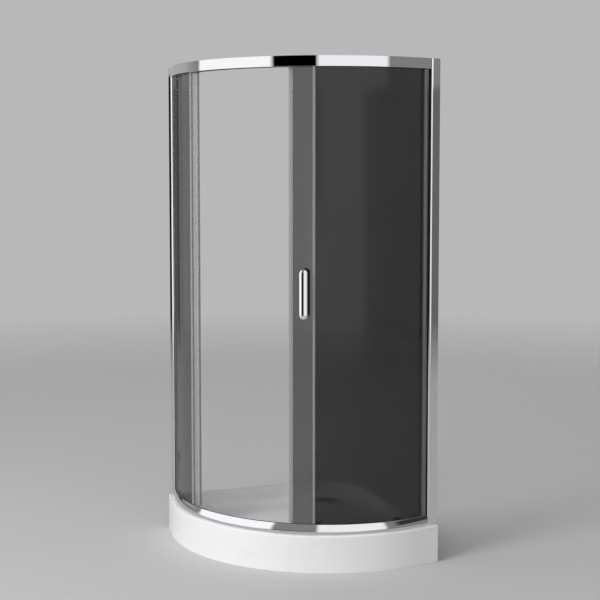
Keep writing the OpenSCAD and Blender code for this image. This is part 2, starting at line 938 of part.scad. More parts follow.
// Clear profile clipped over the free edge of a pane, with its bridge on one side of the edge
clip_wall = 1.2;
clip_cover = 14;
magnet_box = 9;
magnet_inset = 1.6;
box_in_r = door_mid_r - magnet_box / 2;
box_out_r = door_mid_r + magnet_box / 2;
seal_z0 = low_rail_top_z + clear;
seal_z1 = top_rail_z - clear;
module edge_clip(r0, r1, z0, z1, t, way, cover) {
    bridge = way * arc_angle(clip_wall, r0);
    legs = way * arc_angle(cover, r0);
    outer = clip_wall + soft_gap;
    for (leg = [[r0 - outer, r0 - soft_gap], [r1 + soft_gap, r1 + outer]])
        plate(leg[0], leg[1], z0, z1, min(t - legs, t + bridge / 2), max(t - legs, t + bridge / 2));
    plate(r0 - outer, r1 + outer, z0, z1, min(t, t + bridge), max(t, t + bridge));
}
strike_box_t = strike_t - arc_angle(magnet_box, door_mid_r);
module strike_seal() {
    wall = arc_angle(clip_wall, pane_in_r);
    legs = arc_angle(clip_cover, pane_in_r);
    edge = arc_angle(magnet_inset, door_mid_r);
    near_r = pane_in_r - soft_gap;
    far_r = pane_out_r + soft_gap;
    t = left_pane_angle;
    color(clear_c)
        translate([0, 0, seal_z0])
            linear_extrude(seal_z1 - seal_z0)
                difference() {
                    union() {
                        sector(near_r - clip_wall, far_r + clip_wall, t - legs, t + wall);
                        sector(box_in_r + clip_wall / 2, near_r, t, t + wall);
                        sector(box_in_r, box_out_r, t, strike_t);
                    }
                    sector(near_r, far_r, t - 2 * legs, t);
                    sector(box_in_r + clip_wall, box_out_r - clip_wall, t + wall, strike_box_t);
                    sector(box_in_r + magnet_inset, box_out_r - magnet_inset, strike_box_t + edge, strike_t - edge);
                }
}
module magnet_space(t0, t1, z0, z1) {
    edge = arc_angle(magnet_inset, door_mid_r);
    plate(box_in_r + magnet_inset, box_out_r - magnet_inset, z0 - cut, z1 + cut, t0 + edge, t1 - edge);
}
module strike_magnet() {
    color(black_c)
        intersection() {
            magnet_space(strike_box_t, strike_t, seal_z0, seal_z1);
            plate(box_in_r, box_out_r, seal_z0, seal_z1, strike_box_t, strike_t);
        }
}
module fixed_edge_seal() {
    bridge = arc_angle(clip_wall, pane_in_r);
    color(clear_c) {
        edge_clip(pane_in_r, pane_out_r, seal_z0, seal_z1, right_pane_angle, -1, magnet_box);
        plate(door_out_r + soft_gap + clip_wall + clear, pane_in_r, seal_z0, seal_z1,
            right_pane_angle - bridge, right_pane_angle);
    }
}

// Door
door_foot_gap = 12;
door_head_gap = 10;
door_bottom_z = rail_base_z + door_foot_gap;
door_top_z = rail_top_z - door_head_gap;
hanger_bolt_r = 5;
hanger_rise = 7;
hanger_z0 = top_rail_z + hanger_rise;
upper_axle_z = track_z + top_root_r + clear;
lower_axle_z = low_track_z + low_root_r + clear;
hanger_bolt_z = upper_axle_z;
hanger_margin = 12;
hanger_half = arc_angle(wheel_pitch / 2 + hanger_margin, door_in_r);
wheel_half = arc_angle(wheel_pitch / 2, track_r);
guide_cap_rise = 38;
guide_cap_z = rail_base_z + guide_cap_rise;
guide_bolt_r = 4;
guide_w = 22;
guide_head = 11;
guide_rise = 10;
guide_z1 = guide_cap_z + guide_head;
guide_z0 = rail_base_z + guide_rise;
stud_r = 4;
roller_ts = [door_middle_t - roller_angle, door_middle_t + roller_angle];
module at_rollers(z) {
    for (t = roller_ts)
        on_arc(t)
            translate([0, 0, z])
                children();
}
module at_studs() {
    for (side = [-1, 1])
        on_arc(handle_at)
            translate([0, 0, handle_z + side * handle_pitch / 2])
                children();
}
module door_glass() {
    color(glass_c)
        difference() {
            plate(door_in_r, door_out_r, door_bottom_z, door_top_z, door_glass_lead_t, door_glass_trail_t);
            at_rollers(0)
                radial_rod(hanger_bolt_r, door_in_r - cut, door_out_r + cut, hanger_bolt_z);
            at_rollers(0)
                radial_rod(guide_bolt_r, door_in_r - cut, door_out_r + cut, guide_cap_z);
            at_studs()
                radial_rod(stud_r, door_in_r - cut, door_out_r + cut, 0);
        }
}
module lead_seal() {
    color(clear_c)
        difference() {
            union() {
                plate(box_in_r, box_out_r, seal_z0, seal_z1, door_lead_t, door_glass_lead_t);
                edge_clip(door_in_r, door_out_r, seal_z0, seal_z1, door_glass_lead_t, -1, magnet_box);
            }
            magnet_space(door_lead_t, door_glass_lead_t, seal_z0, seal_z1);
        }
}
module lead_magnet() {
    color(black_c)
        intersection() {
            magnet_space(door_lead_t, door_glass_lead_t, seal_z0, seal_z1);
            plate(box_in_r, box_out_r, seal_z0, seal_z1, door_lead_t, door_glass_lead_t);
        }
}
trail_fin_h = 5;
module trail_seal() {
    edge = arc_angle(clip_wall, door_mid_r);
    color(clear_c) {
        edge_clip(door_in_r, door_out_r, seal_z0, seal_z1, door_glass_trail_t, 1, magnet_box);
        plate(door_mid_r - clip_wall / 2, door_mid_r + clip_wall / 2, seal_z0, seal_z1,
            door_glass_trail_t, door_trail_t);
        plate(door_out_r, door_out_r + trail_fin_h, seal_z0, seal_z1,
            door_glass_trail_t, door_glass_trail_t + edge);
    }
}
drip_t = 2.5;
drip_wiper_w = 1.2;
drip_wiper_h = 2;
module drip_seal() {
    color(clear_c)
        sweep(door_glass_lead_t, door_glass_trail_t) {
            band(door_in_r, door_out_r, door_bottom_z - drip_t, door_bottom_z);
            band(door_mid_r - drip_wiper_w, door_mid_r, door_bottom_z - drip_t - drip_wiper_h, door_bottom_z);
        }
}

// Rubber stops under the top plate of the top rail, one beyond each hanger at its end of the travel
stop_w = 10;
stop_rise = 1;
stop_z0 = track_z + stop_rise;
stop_gap = 0.4;
module door_stops() {
    gap_t = hanger_half + arc_angle(stop_gap, door_in_r);
    width_t = arc_angle(stop_w, door_in_r);
    close_t = roller_ts[0] - door_travel - gap_t;
    open_t = roller_ts[1] + gap_t;
    color(black_c) {
        plate(wheel_back_r, door_in_r - stop_gap, stop_z0, rail_top_z - rail_plate_t, close_t - width_t, close_t);
        plate(wheel_back_r, door_in_r - stop_gap, stop_z0, rail_top_z - rail_plate_t, open_t, open_t + width_t);
    }
}
module wheel_bores(ts, z, depth) {
    for (t = ts)
        on_arc(t)
            radial_rod(axle_r, door_in_r - depth, door_in_r + cut, z);
}
upper_ts = [roller_ts[0] - wheel_half, roller_ts[0] + wheel_half, roller_ts[1] - wheel_half, roller_ts[1] + wheel_half];
module roller_hangers() {
    color(steel_c)
        difference() {
            for (t = roller_ts)
                plate(door_in_r - hanger_t, door_in_r, hanger_z0, door_top_z, t - hanger_half, t + hanger_half);
            wheel_bores(upper_ts, upper_axle_z, 2 * hanger_t);
            at_rollers(0)
                radial_rod(hanger_bolt_r, door_in_r - 2 * hanger_t, door_in_r + cut, hanger_bolt_z);
        }
}

// Round head on a pane's outer face: its back follows the curve of the glass
module outer_head(r, h, z) {
    difference() {
        radial_rod(r, door_out_r - cut, door_out_r + h, z);
        translate([0, 0, z - 2 * r])
            cylinder(r = door_out_r, h = 4 * r, $fn = 360);
    }
}
bolt_head_r = 8;
bolt_head_h = 3;
module hanger_bolts() {
    color(steel_c)
        at_rollers(0) {
            outer_head(bolt_head_r, bolt_head_h, hanger_bolt_z);
            radial_rod(hanger_bolt_r, door_in_r - hanger_t, door_out_r + bolt_head_h, hanger_bolt_z);
        }
}
module axle(r1) {
    radial_rod(axle_r, wheel_back_r - clear, r1, 0);
    radial_rod(axle_head_r, wheel_back_r - clear - axle_head_t, wheel_back_r - clear, 0);
}
module wheel_axles() {
    color(steel_c)
        for (t = upper_ts)
            on_arc(t)
                translate([0, 0, upper_axle_z])
                    axle(door_in_r - fit);
}
module guide_axles() {
    color(steel_c)
        at_rollers(lower_axle_z)
            axle(door_in_r - fit);
}
module guide_bodies() {
    half = arc_angle(guide_w / 2, door_in_r);
    color(grey_c)
        difference() {
            union() {
                for (t = roller_ts)
                    plate(door_in_r - hanger_t, door_in_r, guide_z0, guide_z1, t - half, t + half);
                at_rollers(0)
                    radial_rod(guide_bolt_r, door_in_r - hanger_t, door_out_r, guide_cap_z);
            }
            wheel_bores(roller_ts, lower_axle_z, 2 * hanger_t);
        }
}
guide_cap_r = 10;
guide_cap_h = 4.5;
module guide_caps() {
    color(black_c)
        at_rollers(0)
            outer_head(guide_cap_r, guide_cap_h, guide_cap_z);
}

// Wheel with a groove between two flanges, its axis along local X
module grooved_wheel(root_r) {
    side = (wheel_w - rib_w - 2 * rib_play) / 2;
    color(white_c)
        translate([wheel_back_r, 0, 0])
            rotate([0, 90, 0])
                rotate_extrude()
                    difference() {
                        band(axle_r + fit, root_r + groove_d, 0, wheel_w);
                        band(root_r, root_r + groove_d + cut, side, wheel_w - side);
                    }
}
rib_play = 0.5;
module upper_wheel(i) {
    on_arc(upper_ts[i])
        translate([0, 0, upper_axle_z])
            grooved_wheel(top_root_r);
}
module lower_wheel(i) {
    on_arc(roller_ts[i])
        translate([0, 0, lower_axle_z])
            grooved_wheel(low_root_r);
}
module upper_wheel_1() {
    upper_wheel(0);
}
module upper_wheel_2() {
    upper_wheel(1);
}
module upper_wheel_3() {
    upper_wheel(2);
}
module upper_wheel_4() {
    upper_wheel(3);
}
module lower_wheel_1() {
    lower_wheel(0);
}
module lower_wheel_2() {
    lower_wheel(1);
}

// Handles: a bulged bar on each side of the door, on posts over studs that pass through the glass
post_r = 7;
washer_t = 1;
washer_r = 8.5;
stud_bite = 12;

// Half section of a handle bar: half width and height above its back
module bar_half() {
    intersection() {
        square([handle_w / 2, handle_t]);
        translate([0, handle_t - handle_face_r])
            circle(r = handle_face_r, $fn = 180);
    }
}
module handle_bar() {
    straight = handle_l - handle_w;
    translate([0, 0, -straight / 2])
        linear_extrude(straight)
            for (side = [0, 1])
                mirror([0, side])
                    rotate(90)
                        mirror([0, 1])
                            bar_half();
    for (side = [-1, 1])
        translate([0, 0, side * straight / 2])
            rotate([0, 90, 0])
                rotate_extrude()
                    bar_half();
}

// Bar and two posts, standing on local X from the washers outwards
module handle() {
    difference() {
        union() {
            translate([finger_gap, 0, 0])
                handle_bar();
            for (side = [-1, 1])
                translate([0, 0, side * handle_pitch / 2])
                    radial_rod(post_r, washer_t, finger_gap, 0);
        }
        for (side = [-1, 1])
            translate([0, 0, side * handle_pitch / 2])
                radial_rod(stud_r, 0, stud_bite, 0);
    }
}
module handle_outer() {
    color(chrome_c)
        on_arc(handle_at)
            translate([door_out_r, 0, handle_z])
                handle();
}
module handle_inner() {
    color(chrome_c)
        on_arc(handle_at)
            translate([door_in_r, 0, handle_z])
                mirror([1, 0, 0])
                    handle();
}
module handle_studs() {
    color(steel_c)
        at_studs()
            radial_rod(stud_r, door_in_r - stud_bite, door_out_r + stud_bite, 0);
}
module handle_washers() {
    color(clear_c)
        at_studs() {
            difference() {
                outer_head(washer_r, washer_t, 0);
                radial_rod(stud_r, door_out_r - 2 * cut, door_out_r + 2 * washer_t, 0);
            }
            difference() {
                intersection() {
                    radial_rod(washer_r, door_in_r - washer_t, door_in_r + cut, 0);
                    translate([0, 0, -2 * washer_r])
                        cylinder(r = door_in_r, h = 4 * washer_r, $fn = 360);
                }
                radial_rod(stud_r, door_in_r - 2 * washer_t, door_in_r + 2 * cut, 0);
            }
        }
}

// Drawing
tray_shell();
support_board();
foot_plates();
foot_rods();
foot_nuts();
foot_pads();
waste_body();
waste_gasket();
waste_flange();
dip_tube();
waste_cover();
bottom_rail();
top_rail();
left_wall_profile();
right_wall_profile();
left_side_profile();
right_side_profile();
profile_screws();
profile_screw_caps();
rail_end_screws();
left_fixed_glass();
right_fixed_glass();
left_glass_seal();
right_glass_seal();
top_gaskets();
bottom_gaskets();
setting_blocks();
slot_fillers();
strike_seal();
strike_magnet();
fixed_edge_seal();
door_stops();
door_glass();
lead_seal();
lead_magnet();
trail_seal();
drip_seal();
roller_hangers();
hanger_bolts();
wheel_axles();
guide_bodies();
guide_caps();
guide_axles();
handle_outer();
handle_inner();
handle_studs();
handle_washers();
upper_wheel_1();
upper_wheel_2();
upper_wheel_3();
upper_wheel_4();
lower_wheel_1();
lower_wheel_2();
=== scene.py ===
"""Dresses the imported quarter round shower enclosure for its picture.

Lengths are metres, apart from the tables of sections, which are millimetres. The front is an arc
about one upright axis: a place on it is an angle t with x = axis - r cos t and y = axis - r sin t,
so t = 0 degrees faces -X and t = 90 degrees faces -Y.
"""
import json
import math

import bmesh
import bpy
import numpy as np
from bpy.props import FloatProperty, FloatVectorProperty, PointerProperty
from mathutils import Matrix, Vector


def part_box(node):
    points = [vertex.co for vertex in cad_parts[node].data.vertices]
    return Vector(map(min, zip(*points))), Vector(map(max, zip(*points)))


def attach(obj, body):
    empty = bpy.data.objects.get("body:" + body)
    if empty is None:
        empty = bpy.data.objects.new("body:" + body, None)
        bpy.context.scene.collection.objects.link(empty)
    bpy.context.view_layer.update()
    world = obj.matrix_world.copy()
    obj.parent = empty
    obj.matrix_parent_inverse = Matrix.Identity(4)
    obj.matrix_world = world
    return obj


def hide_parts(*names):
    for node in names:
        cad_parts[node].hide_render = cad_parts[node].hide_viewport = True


bl_info = {
    "name": "Quarter Round Shower Enclosure",
    "version": (1, 0, 0),
    "blender": (4, 5, 0),
    "location": "View3D > Sidebar > Enclosure",
    "description": "Builds the looks of a curved shower enclosure around its CAD frame",
    "category": "Object",
}

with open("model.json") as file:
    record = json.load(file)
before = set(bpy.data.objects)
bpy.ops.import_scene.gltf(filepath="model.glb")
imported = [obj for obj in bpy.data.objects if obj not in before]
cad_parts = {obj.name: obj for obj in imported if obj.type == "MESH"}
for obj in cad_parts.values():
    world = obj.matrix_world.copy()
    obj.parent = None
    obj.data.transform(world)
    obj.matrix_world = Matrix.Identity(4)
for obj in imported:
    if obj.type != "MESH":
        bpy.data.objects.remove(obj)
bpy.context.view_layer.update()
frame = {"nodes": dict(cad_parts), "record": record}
TRAY_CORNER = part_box("tray_shell")[1]
RAIL_FOOT = {name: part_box(name)[0].z for name in ("top_rail", "bottom_rail")}
BAR_FOOT, BAR_HEAD = (end.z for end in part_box("handle_outer"))


def length(name, value, words):
    """A length property in metres."""
    return FloatProperty(name=name, default=value, unit="LENGTH", precision=4, description=words)


def angle(name, degrees, words):
    """An angle property, given in degrees and kept in radians."""
    return FloatProperty(name=name, default=math.radians(degrees), subtype="ANGLE", description=words)


def tint(name, value, words):
    """A linear colour property."""
    return FloatVectorProperty(name=name, default=value, subtype="COLOR", size=3, min=0, max=1,
                               description=words)


class EnclosureSizes(bpy.types.PropertyGroup):
    """Sizes of the tray, frame, glass and handle."""

    tray_width: length("Tray width", 0.9, "Side of the tray along a wall")
    arc_radius: length("Apron radius", 0.69, "Plan radius of the curved apron")
    end_length: length("Apron ends", 0.06, "Straight end of the tray's plan at each wall")
    apron_turn: angle("Apron turn", 9.5, "Angle past the arc's quarter where the apron runs straight")
    tray_height: length("Tray height", TRAY_CORNER.z, "Height of the tray's ledge")
    edge_round: length("Edge rounding", 0.004, "Rounding of the apron's top edge")
    wall_ledge: length("Wall ledge", 0.032, "Ledge between basin and walls")
    front_ledge: length("Front ledge", 0.078, "Ledge between basin and front")
    basin_depth: length("Basin depth", 0.045, "Depth of the basin's floor")
    basin_slope: length("Basin slope", 0.042, "Run of the basin's sloping side")
    basin_corner: length("Basin corner", 0.15, "Radius of the corner by the walls")
    basin_end: length("Basin ends", 0.06, "Radius of the two corners by the front")
    shell: length("Shell", 0.005, "Thickness of the tray's shell")
    skirt: length("Skirt", 0.038, "Depth of the skirt on the wall sides")
    waste_offset: length("Waste offset", 0.21, "Waste's distance from both walls")
    waste_radius: length("Waste hole", 0.045, "Radius of the waste hole")
    face_radius: length("Rail face", 0.676, "Radius of the rails' front face")
    bulge_radius: length("Bulge radius", 0.13, "Radius of the bottom rail's rounded front")
    crown_start: length("Crown start", 0.013, "Height on the bottom rail where its front leans back")
    crown_blend: length("Crown blend", 0.004, "Height over which that lean sets in")
    crown_lean: angle("Crown lean", 10, "Lean of the bottom rail's front above its foot")
    apron_return: length("Apron return", 0.03, "Length of apron that turns back along each wall")
    profile_reach: length("Profile reach", 0.041, "Wall profile's reach from its wall")
    handle_angle: angle("Handle angle", 60.6377, "Place of the handle on the front")
    bar_width: length("Bar width", 0.034, "Width of a handle bar")
    bar_depth: length("Bar depth", 0.014, "Depth of a handle bar")
    bar_face: length("Bar face", 0.038, "Radius of the bar's bulged face")
    bar_edge: length("Bar edge", 0.005, "Radius of the bar's shoulders")
    bar_length: length("Bar length", BAR_HEAD - BAR_FOOT, "Length of a handle bar")
    bar_gap: length("Bar gap", 0.028, "Finger gap behind a bar")
    post_radius: length("Post radius", 0.007, "Radius of the handle's posts")
    post_pitch: length("Post pitch", 0.145, "Distance between a handle's posts")
    post_sink: length("Post sink", 0.001, "How far a post starts from the glass and runs into its bar")


class EnclosureColours(bpy.types.PropertyGroup):
    """Colours and levels of the finishes."""

    acrylic: tint("Acrylic", (0.83, 0.83, 0.83), "White of the tray")
    bright_metal: tint("Bright metal", (0.80, 0.81, 0.83), "Polished rails and profiles")
    chrome: tint("Chrome", (0.86, 0.87, 0.89), "Handle and waste cover")
    glass: tint("Glass", (0.012, 0.014, 0.015), "Body tint of the grey glass")
    vinyl: tint("Vinyl", (0.48, 0.49, 0.50), "Clear seals")
    black: tint("Black", (0.012, 0.012, 0.013), "Rubber and black plastic")
    floor: tint("Floor", (0.54, 0.54, 0.54), "Studio floor")
    backdrop: tint("Backdrop", (0.48, 0.48, 0.485), "Pale background behind the object")
    glass_hold: FloatProperty(name="Glass tint", default=0.51, min=0, max=1, subtype="FACTOR",
                              description="Share of the light that one face of a pane holds back")


# Shader maths


class Wire:
    """A shader value. Sums, products and powers of wires add the Math nodes that compute them."""

    def __init__(self, finish, socket):
        self.finish, self.socket = finish, socket

    def _math(self, operation, *values):
        return self.finish.node("ShaderNodeMath", {"operation": operation}, dict(enumerate(values)))

    def __add__(self, other):
        return self._math("ADD", self, other)

    def __sub__(self, other):
        return self._math("SUBTRACT", self, other)

    def __rsub__(self, other):
        return self._math("SUBTRACT", other, self)

    def __mul__(self, other):
        return self._math("MULTIPLY", self, other)

    def __pow__(self, other):
        return self._math("POWER", self, other)

    __radd__ = __add__
    __rmul__ = __mul__


class Finish:
    """A material under construction. Every node but the surface comes from node()."""

    def __init__(self, name):
        self.material = bpy.data.materials.new(name)
        self.material.use_nodes = True
        self.tree = self.material.node_tree
        self.tree.nodes.clear()

    def node(self, kind, settings=(), values=(), out=0):
        """Adds a node with its settings, then its socket values or links, and returns one output."""
        made = self.tree.nodes.new(kind)
        for key, value in dict(settings).items():
            setattr(made, key, value)
        for key, value in dict(values).items():
            self.put(made.inputs[key], value)
        return Wire(self, made.outputs[out]) if made.outputs else None

    def put(self, socket, value):
        """Links a wire to a socket, or sets the socket's own value."""
        if isinstance(value, Wire):
            self.tree.links.new(value.socket, socket)
        else:
            socket.default_value = value

    def place(self):
        """Object coordinates."""
        return self.node("ShaderNodeTexCoord", out="Object")

    def axes(self, vector):
        """The x, y and z of a vector."""
        split = self.node("ShaderNodeSeparateXYZ", {}, {0: vector}).socket.node
        return [Wire(self, output) for output in split.outputs]

    def step(self, value, low, high):
        """0 below low, 1 above high, straight between."""
        values = {0: value, 1: low, 2: high, 3: 0.0, 4: 1.0}
        return self.node("ShaderNodeMapRange", {"clamp": True}, values)

    def stretched(self, scale):
        """Object coordinates scaled by one factor for each axis."""
        return self.node("ShaderNodeMapping", {}, {"Vector": self.place(), "Scale": scale})

    def noise(self, scale, detail, where=None):
        """Soft noise between 0 and 1."""
        values = {"Vector": where or self.place(), "Scale": scale, "Detail": detail}
        return self.node("ShaderNodeTexNoise", {}, values, "Fac")

    def blend(self, share, first, second):
        """Colour between two colours, which are the Mix node's sockets 6 and 7."""
        values = {"Factor": share, 6: (*first, 1), 7: (*second, 1)}
        return self.node("ShaderNodeMix", {"data_type": "RGBA"}, values, 2)

    def bump(self, height, distance, strength=1.0):
        """Normal bent by a height map."""
        values = {"Height": height, "Distance": distance, "Strength": strength}
        return self.node("ShaderNodeBump", {}, values)

    def surface(self, **values):
        """Ends the material in one Principled shader; underscores in names stand for spaces."""
        named = {key.replace("_", " "): value for key, value in values.items()}
        shader = self.node("ShaderNodeBsdfPrincipled", {}, named)
        self.node("ShaderNodeOutputMaterial", {}, {"Surface": shader})
        return self.material


def scaled(colour, factor):
    """A colour times a number."""
    return tuple(min(1.0, c * factor) for c in colour)


def gloss_acrylic(c):
    """White cast acrylic: a clear coat over a body with faint cloudiness and orange peel."""
    f = Finish("gloss white acrylic")
    cloud = f.noise(5.0, detail=4.0)
    peel = f.noise(90.0, detail=2.0)
    return f.surface(Base_Color=f.blend(cloud, scaled(c.acrylic, 0.97), scaled(c.acrylic, 1.02)),
                     Roughness=0.24 + 0.08 * cloud, Coat_Weight=0.2, Coat_Roughness=0.08, IOR=1.45,
                     Normal=f.bump(peel, 0.00015, 0.25))


def bright_aluminium(c, name="bright aluminium", crown=None):
    """Polished anodised aluminium: a mirror with a slow ripple and faint rub marks. A crown is a
    height, a slope and a blend: above that height the face leans back instead, by the bump map
    slope times the smooth minimum of 0 and height - z."""
    f = Finish(name)
    rub = f.noise(60.0, detail=4.0, where=f.stretched((1, 1, 0.15)))
    ripple = f.noise(7.0, detail=2.0)
    if crown:
        start, slope, blend = crown
        values = {0: start - f.axes(f.place())[2], 1: 0.0, 2: blend}
        shape = f.bump(f.node("ShaderNodeMath", {"operation": "SMOOTH_MIN"}, values) * slope, 1.0)
    else:
        shape = f.bump(ripple, 0.0003, 0.1)
    return f.surface(Base_Color=f.blend(ripple, scaled(c.bright_metal, 0.95), c.bright_metal[:]),
                     Metallic=1.0, Roughness=0.015 + 0.02 * rub, Normal=shape)


def crowned_aluminium(c):
    """The bottom rail's aluminium, whose front leans back above its upright foot."""
    s = bpy.context.scene.enclosure_sizes
    crown = (RAIL_FOOT["bottom_rail"] + s.crown_start, math.tan(s.crown_lean), s.crown_blend)
    return bright_aluminium(c, "crowned aluminium", crown)


def mirror_chrome(c):
    """Plated chrome with a few soft smears."""
    f = Finish("mirror chrome")
    smear = f.noise(40.0, detail=3.0)
    return f.surface(Base_Color=f.blend(smear, scaled(c.chrome, 0.96), c.chrome[:]), Metallic=1.0,
                     Roughness=0.02 + 0.03 * smear)


def tinted_glass(c):
    """Grey tempered glass, thin: each face holds back part of the light and mirrors the rest."""
    f = Finish("grey tinted glass")
    film = f.noise(3.0, detail=4.0, where=f.stretched((1, 1, 0.3)))
    spots = f.noise(150.0, detail=1.0) ** 6
    return f.surface(Base_Color=c.glass[:] + (1,), Roughness=0.015 + 0.03 * film,
                     Alpha=c.glass_hold + 0.02 * film + 0.1 * spots, IOR=1.42)


def clear_vinyl(c):
    """Hazy clear vinyl of the seals."""
    f = Finish("clear vinyl")
    haze = f.noise(30.0, detail=3.0, where=f.stretched((1, 1, 0.2)))
    return f.surface(Base_Color=f.blend(haze, scaled(c.vinyl, 0.96), c.vinyl[:]),
                     Roughness=0.3 + 0.05 * haze, Alpha=0.35 + 0.02 * haze)


def black_rubber(c):
    """Matt black rubber with a dusty bloom."""
    f = Finish("black rubber")
    dust = f.noise(120.0, detail=4.0)
    return f.surface(Base_Color=f.blend(dust, c.black[:], scaled(c.black, 2.2)),
                     Roughness=0.55 + 0.2 * dust, Normal=f.bump(dust, 0.0002, 0.3))


def black_plastic(c):
    """Satin black moulded plastic."""
    f = Finish("black plastic")
    grain = f.noise(400.0, detail=2.0)
    return f.surface(Base_Color=f.blend(grain, c.black[:], scaled(c.black, 1.6)),
                     Roughness=0.32 + 0.1 * grain, Normal=f.bump(grain, 0.0001, 0.3))


def moulded(name, colour, roughness):
    """Satin moulded plastic of any colour with a fine grain."""
    f = Finish(name)
    grain = f.noise(350.0, detail=3.0)
    return f.surface(Base_Color=f.blend(grain, scaled(colour, 0.92), colour),
                     Roughness=roughness + 0.1 * grain, Normal=f.bump(grain, 0.0001, 0.25))


def satin_steel(name, colour, roughness):
    """Brushed or plated steel with streaks along Z."""
    f = Finish(name)
    streak = f.noise(260.0, detail=3.0, where=f.stretched((1, 1, 0.08)))
    return f.surface(Base_Color=f.blend(streak, scaled(colour, 0.85), colour), Metallic=1.0,
                     Roughness=roughness + 0.15 * streak, Normal=f.bump(streak, 0.0001, 0.2))


def sealed_board():
    """Raw board under the basin: long grain under a resin film."""
    f = Finish("sealed board")
    grain = f.noise(18.0, detail=6.0, where=f.stretched((1, 14, 14)))
    return f.surface(Base_Color=f.blend(grain, (0.34, 0.23, 0.13), (0.52, 0.39, 0.24)),
                     Roughness=0.45 + 0.2 * grain, Normal=f.bump(grain, 0.0004, 0.4))


# Makers of the slots' materials, and the materials made so far

FINISHES = {
    "acrylic": gloss_acrylic,
    "bright_aluminium": bright_aluminium,
    "bright_chrome": mirror_chrome,
    "crowned_aluminium": crowned_aluminium,
    "tinted_glass": tinted_glass,
    "clear_vinyl": clear_vinyl,
    "black_rubber": black_rubber,
    "magnet_strip": lambda c: moulded("magnet strip", (0.34, 0.345, 0.35), 0.4),
    "black_plastic": black_plastic,
    "white_plastic": lambda c: moulded("white plastic", (0.76, 0.76, 0.74), 0.3),
    "grey_plastic": lambda c: moulded("grey plastic", (0.14, 0.145, 0.15), 0.35),
    "wheel_plastic": lambda c: moulded("wheel plastic", (0.70, 0.70, 0.66), 0.25),
    "stainless": lambda c: satin_steel("stainless steel", (0.58, 0.58, 0.59), 0.18),
    "zinc": lambda c: satin_steel("zinc plated steel", (0.50, 0.52, 0.55), 0.3),
    "board": lambda c: sealed_board(),
}
MADE = {}


def finish(slot):
    """The material of a slot, made once."""
    if slot not in MADE:
        MADE[slot] = FINISHES[slot](bpy.context.scene.enclosure_colours)
    return MADE[slot]


# Mesh building


def mesh_piece(name, points, faces, slot, body):
    """Puts arrays of points and faces into a mesh that rides on a body."""
    mesh = bpy.data.meshes.new(name)
    mesh.from_pydata(np.asarray(points).reshape(-1, 3).tolist(), [], [f.tolist() for f in faces])
    mesh.polygons.foreach_set("use_smooth", np.full(len(mesh.polygons), True))
    mesh.materials.append(finish(slot))
    mesh.update()
    piece = bpy.data.objects.new(name, mesh)
    bpy.context.scene.collection.objects.link(piece)
    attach(piece, body)
    return piece


def face_outwards(piece, sharp=40):
    """Merges doubled points, turns every face outwards and marks the edges that stay crisp, which
    are those that turn by more than an angle in degrees."""
    work = bmesh.new()
    work.from_mesh(piece.data)
    bmesh.ops.remove_doubles(work, verts=work.verts, dist=1e-6)
    bmesh.ops.recalc_face_normals(work, faces=work.faces)
    work.to_mesh(piece.data)
    work.free()
    piece.data.set_sharp_from_angle(angle=math.radians(sharp))


def quads(m, n, ring=False):
    """Faces (i, j), (i, j + 1), (i + 1, j + 1), (i + 1, j) of m rows of n points. Each row closes on
    itself, and in a ring the last row joins the first."""
    i, j = np.meshgrid(np.arange(m - (not ring)), np.arange(n), indexing="ij")
    k, l = (i + 1) % m, (j + 1) % n
    return np.stack([i * n + j, i * n + l, k * n + l, k * n + j], -1).reshape(-1, 4)


def closed_ends(m, n):
    """Flat faces on the first and the last of m rows of n points."""
    return [np.arange(n), np.arange(n)[::-1] + (m - 1) * n]


def on_front(r, t, z):
    """Points at radius r, angle t and height z: (axis - r cos t, axis - r sin t, z)."""
    axis = axis_at()
    return np.stack(np.broadcast_arrays(axis - r * np.cos(t), axis - r * np.sin(t), z), -1)


def corner_at():
    """The walls are the planes x = corner and y = corner: the tray's square is centred on its box."""
    return TRAY_CORNER.x


def arc_wall():
    """Distance w of the front's axis from each wall: with tray width W, end L and radius R it solves
    (W - w)^2 + (w - L)^2 = R^2."""
    s = bpy.context.scene.enclosure_sizes
    total = s.tray_width + s.end_length
    rest = s.tray_width ** 2 + s.end_length ** 2 - s.arc_radius ** 2
    return (total - math.sqrt(total ** 2 - 2 * rest)) / 2


def axis_at():
    """x and y of the front's upright axis."""
    return corner_at() - arc_wall()


# Tray

# Distance of a ray from the bend beside it, and of a ring from the rounded edge beside it
NEAR, STEADY = 1e-4, 0.0006


def ray_reach(directions, outline):
    """Distance from the basin's hub along each direction d to a closed outline of straight pieces. A
    piece from p to q gives cross(p, q - p) / cross(d, q - p), if the direction meets the piece."""
    p, q = outline, np.roll(outline, -1, 0)
    e = q - p
    cross = directions[:, None, 0] * e[None, :, 1] - directions[:, None, 1] * e[None, :, 0]
    with np.errstate(divide="ignore", invalid="ignore"):
        reach = (p[:, 0] * e[:, 1] - p[:, 1] * e[:, 0])[None] / cross
        along = p[None, :, 0] * directions[:, None, 1] - p[None, :, 1] * directions[:, None, 0]
        along = along / cross
    slack, parallel = 1e-6, 1e-12
    meets = (np.abs(cross) > parallel) & (reach > 0) & (along > -slack) & (along < 1 + slack)
    return np.where(meets, reach, np.inf).min(1)


def arc_points(centre, radius, start, stop, count):
    """Points centre + radius (cos a, sin a) for angles a from start to stop in degrees."""
    a = np.radians(np.linspace(start, stop, count))
    return np.stack([centre[0] + radius * np.cos(a), centre[1] + radius * np.sin(a)], -1)


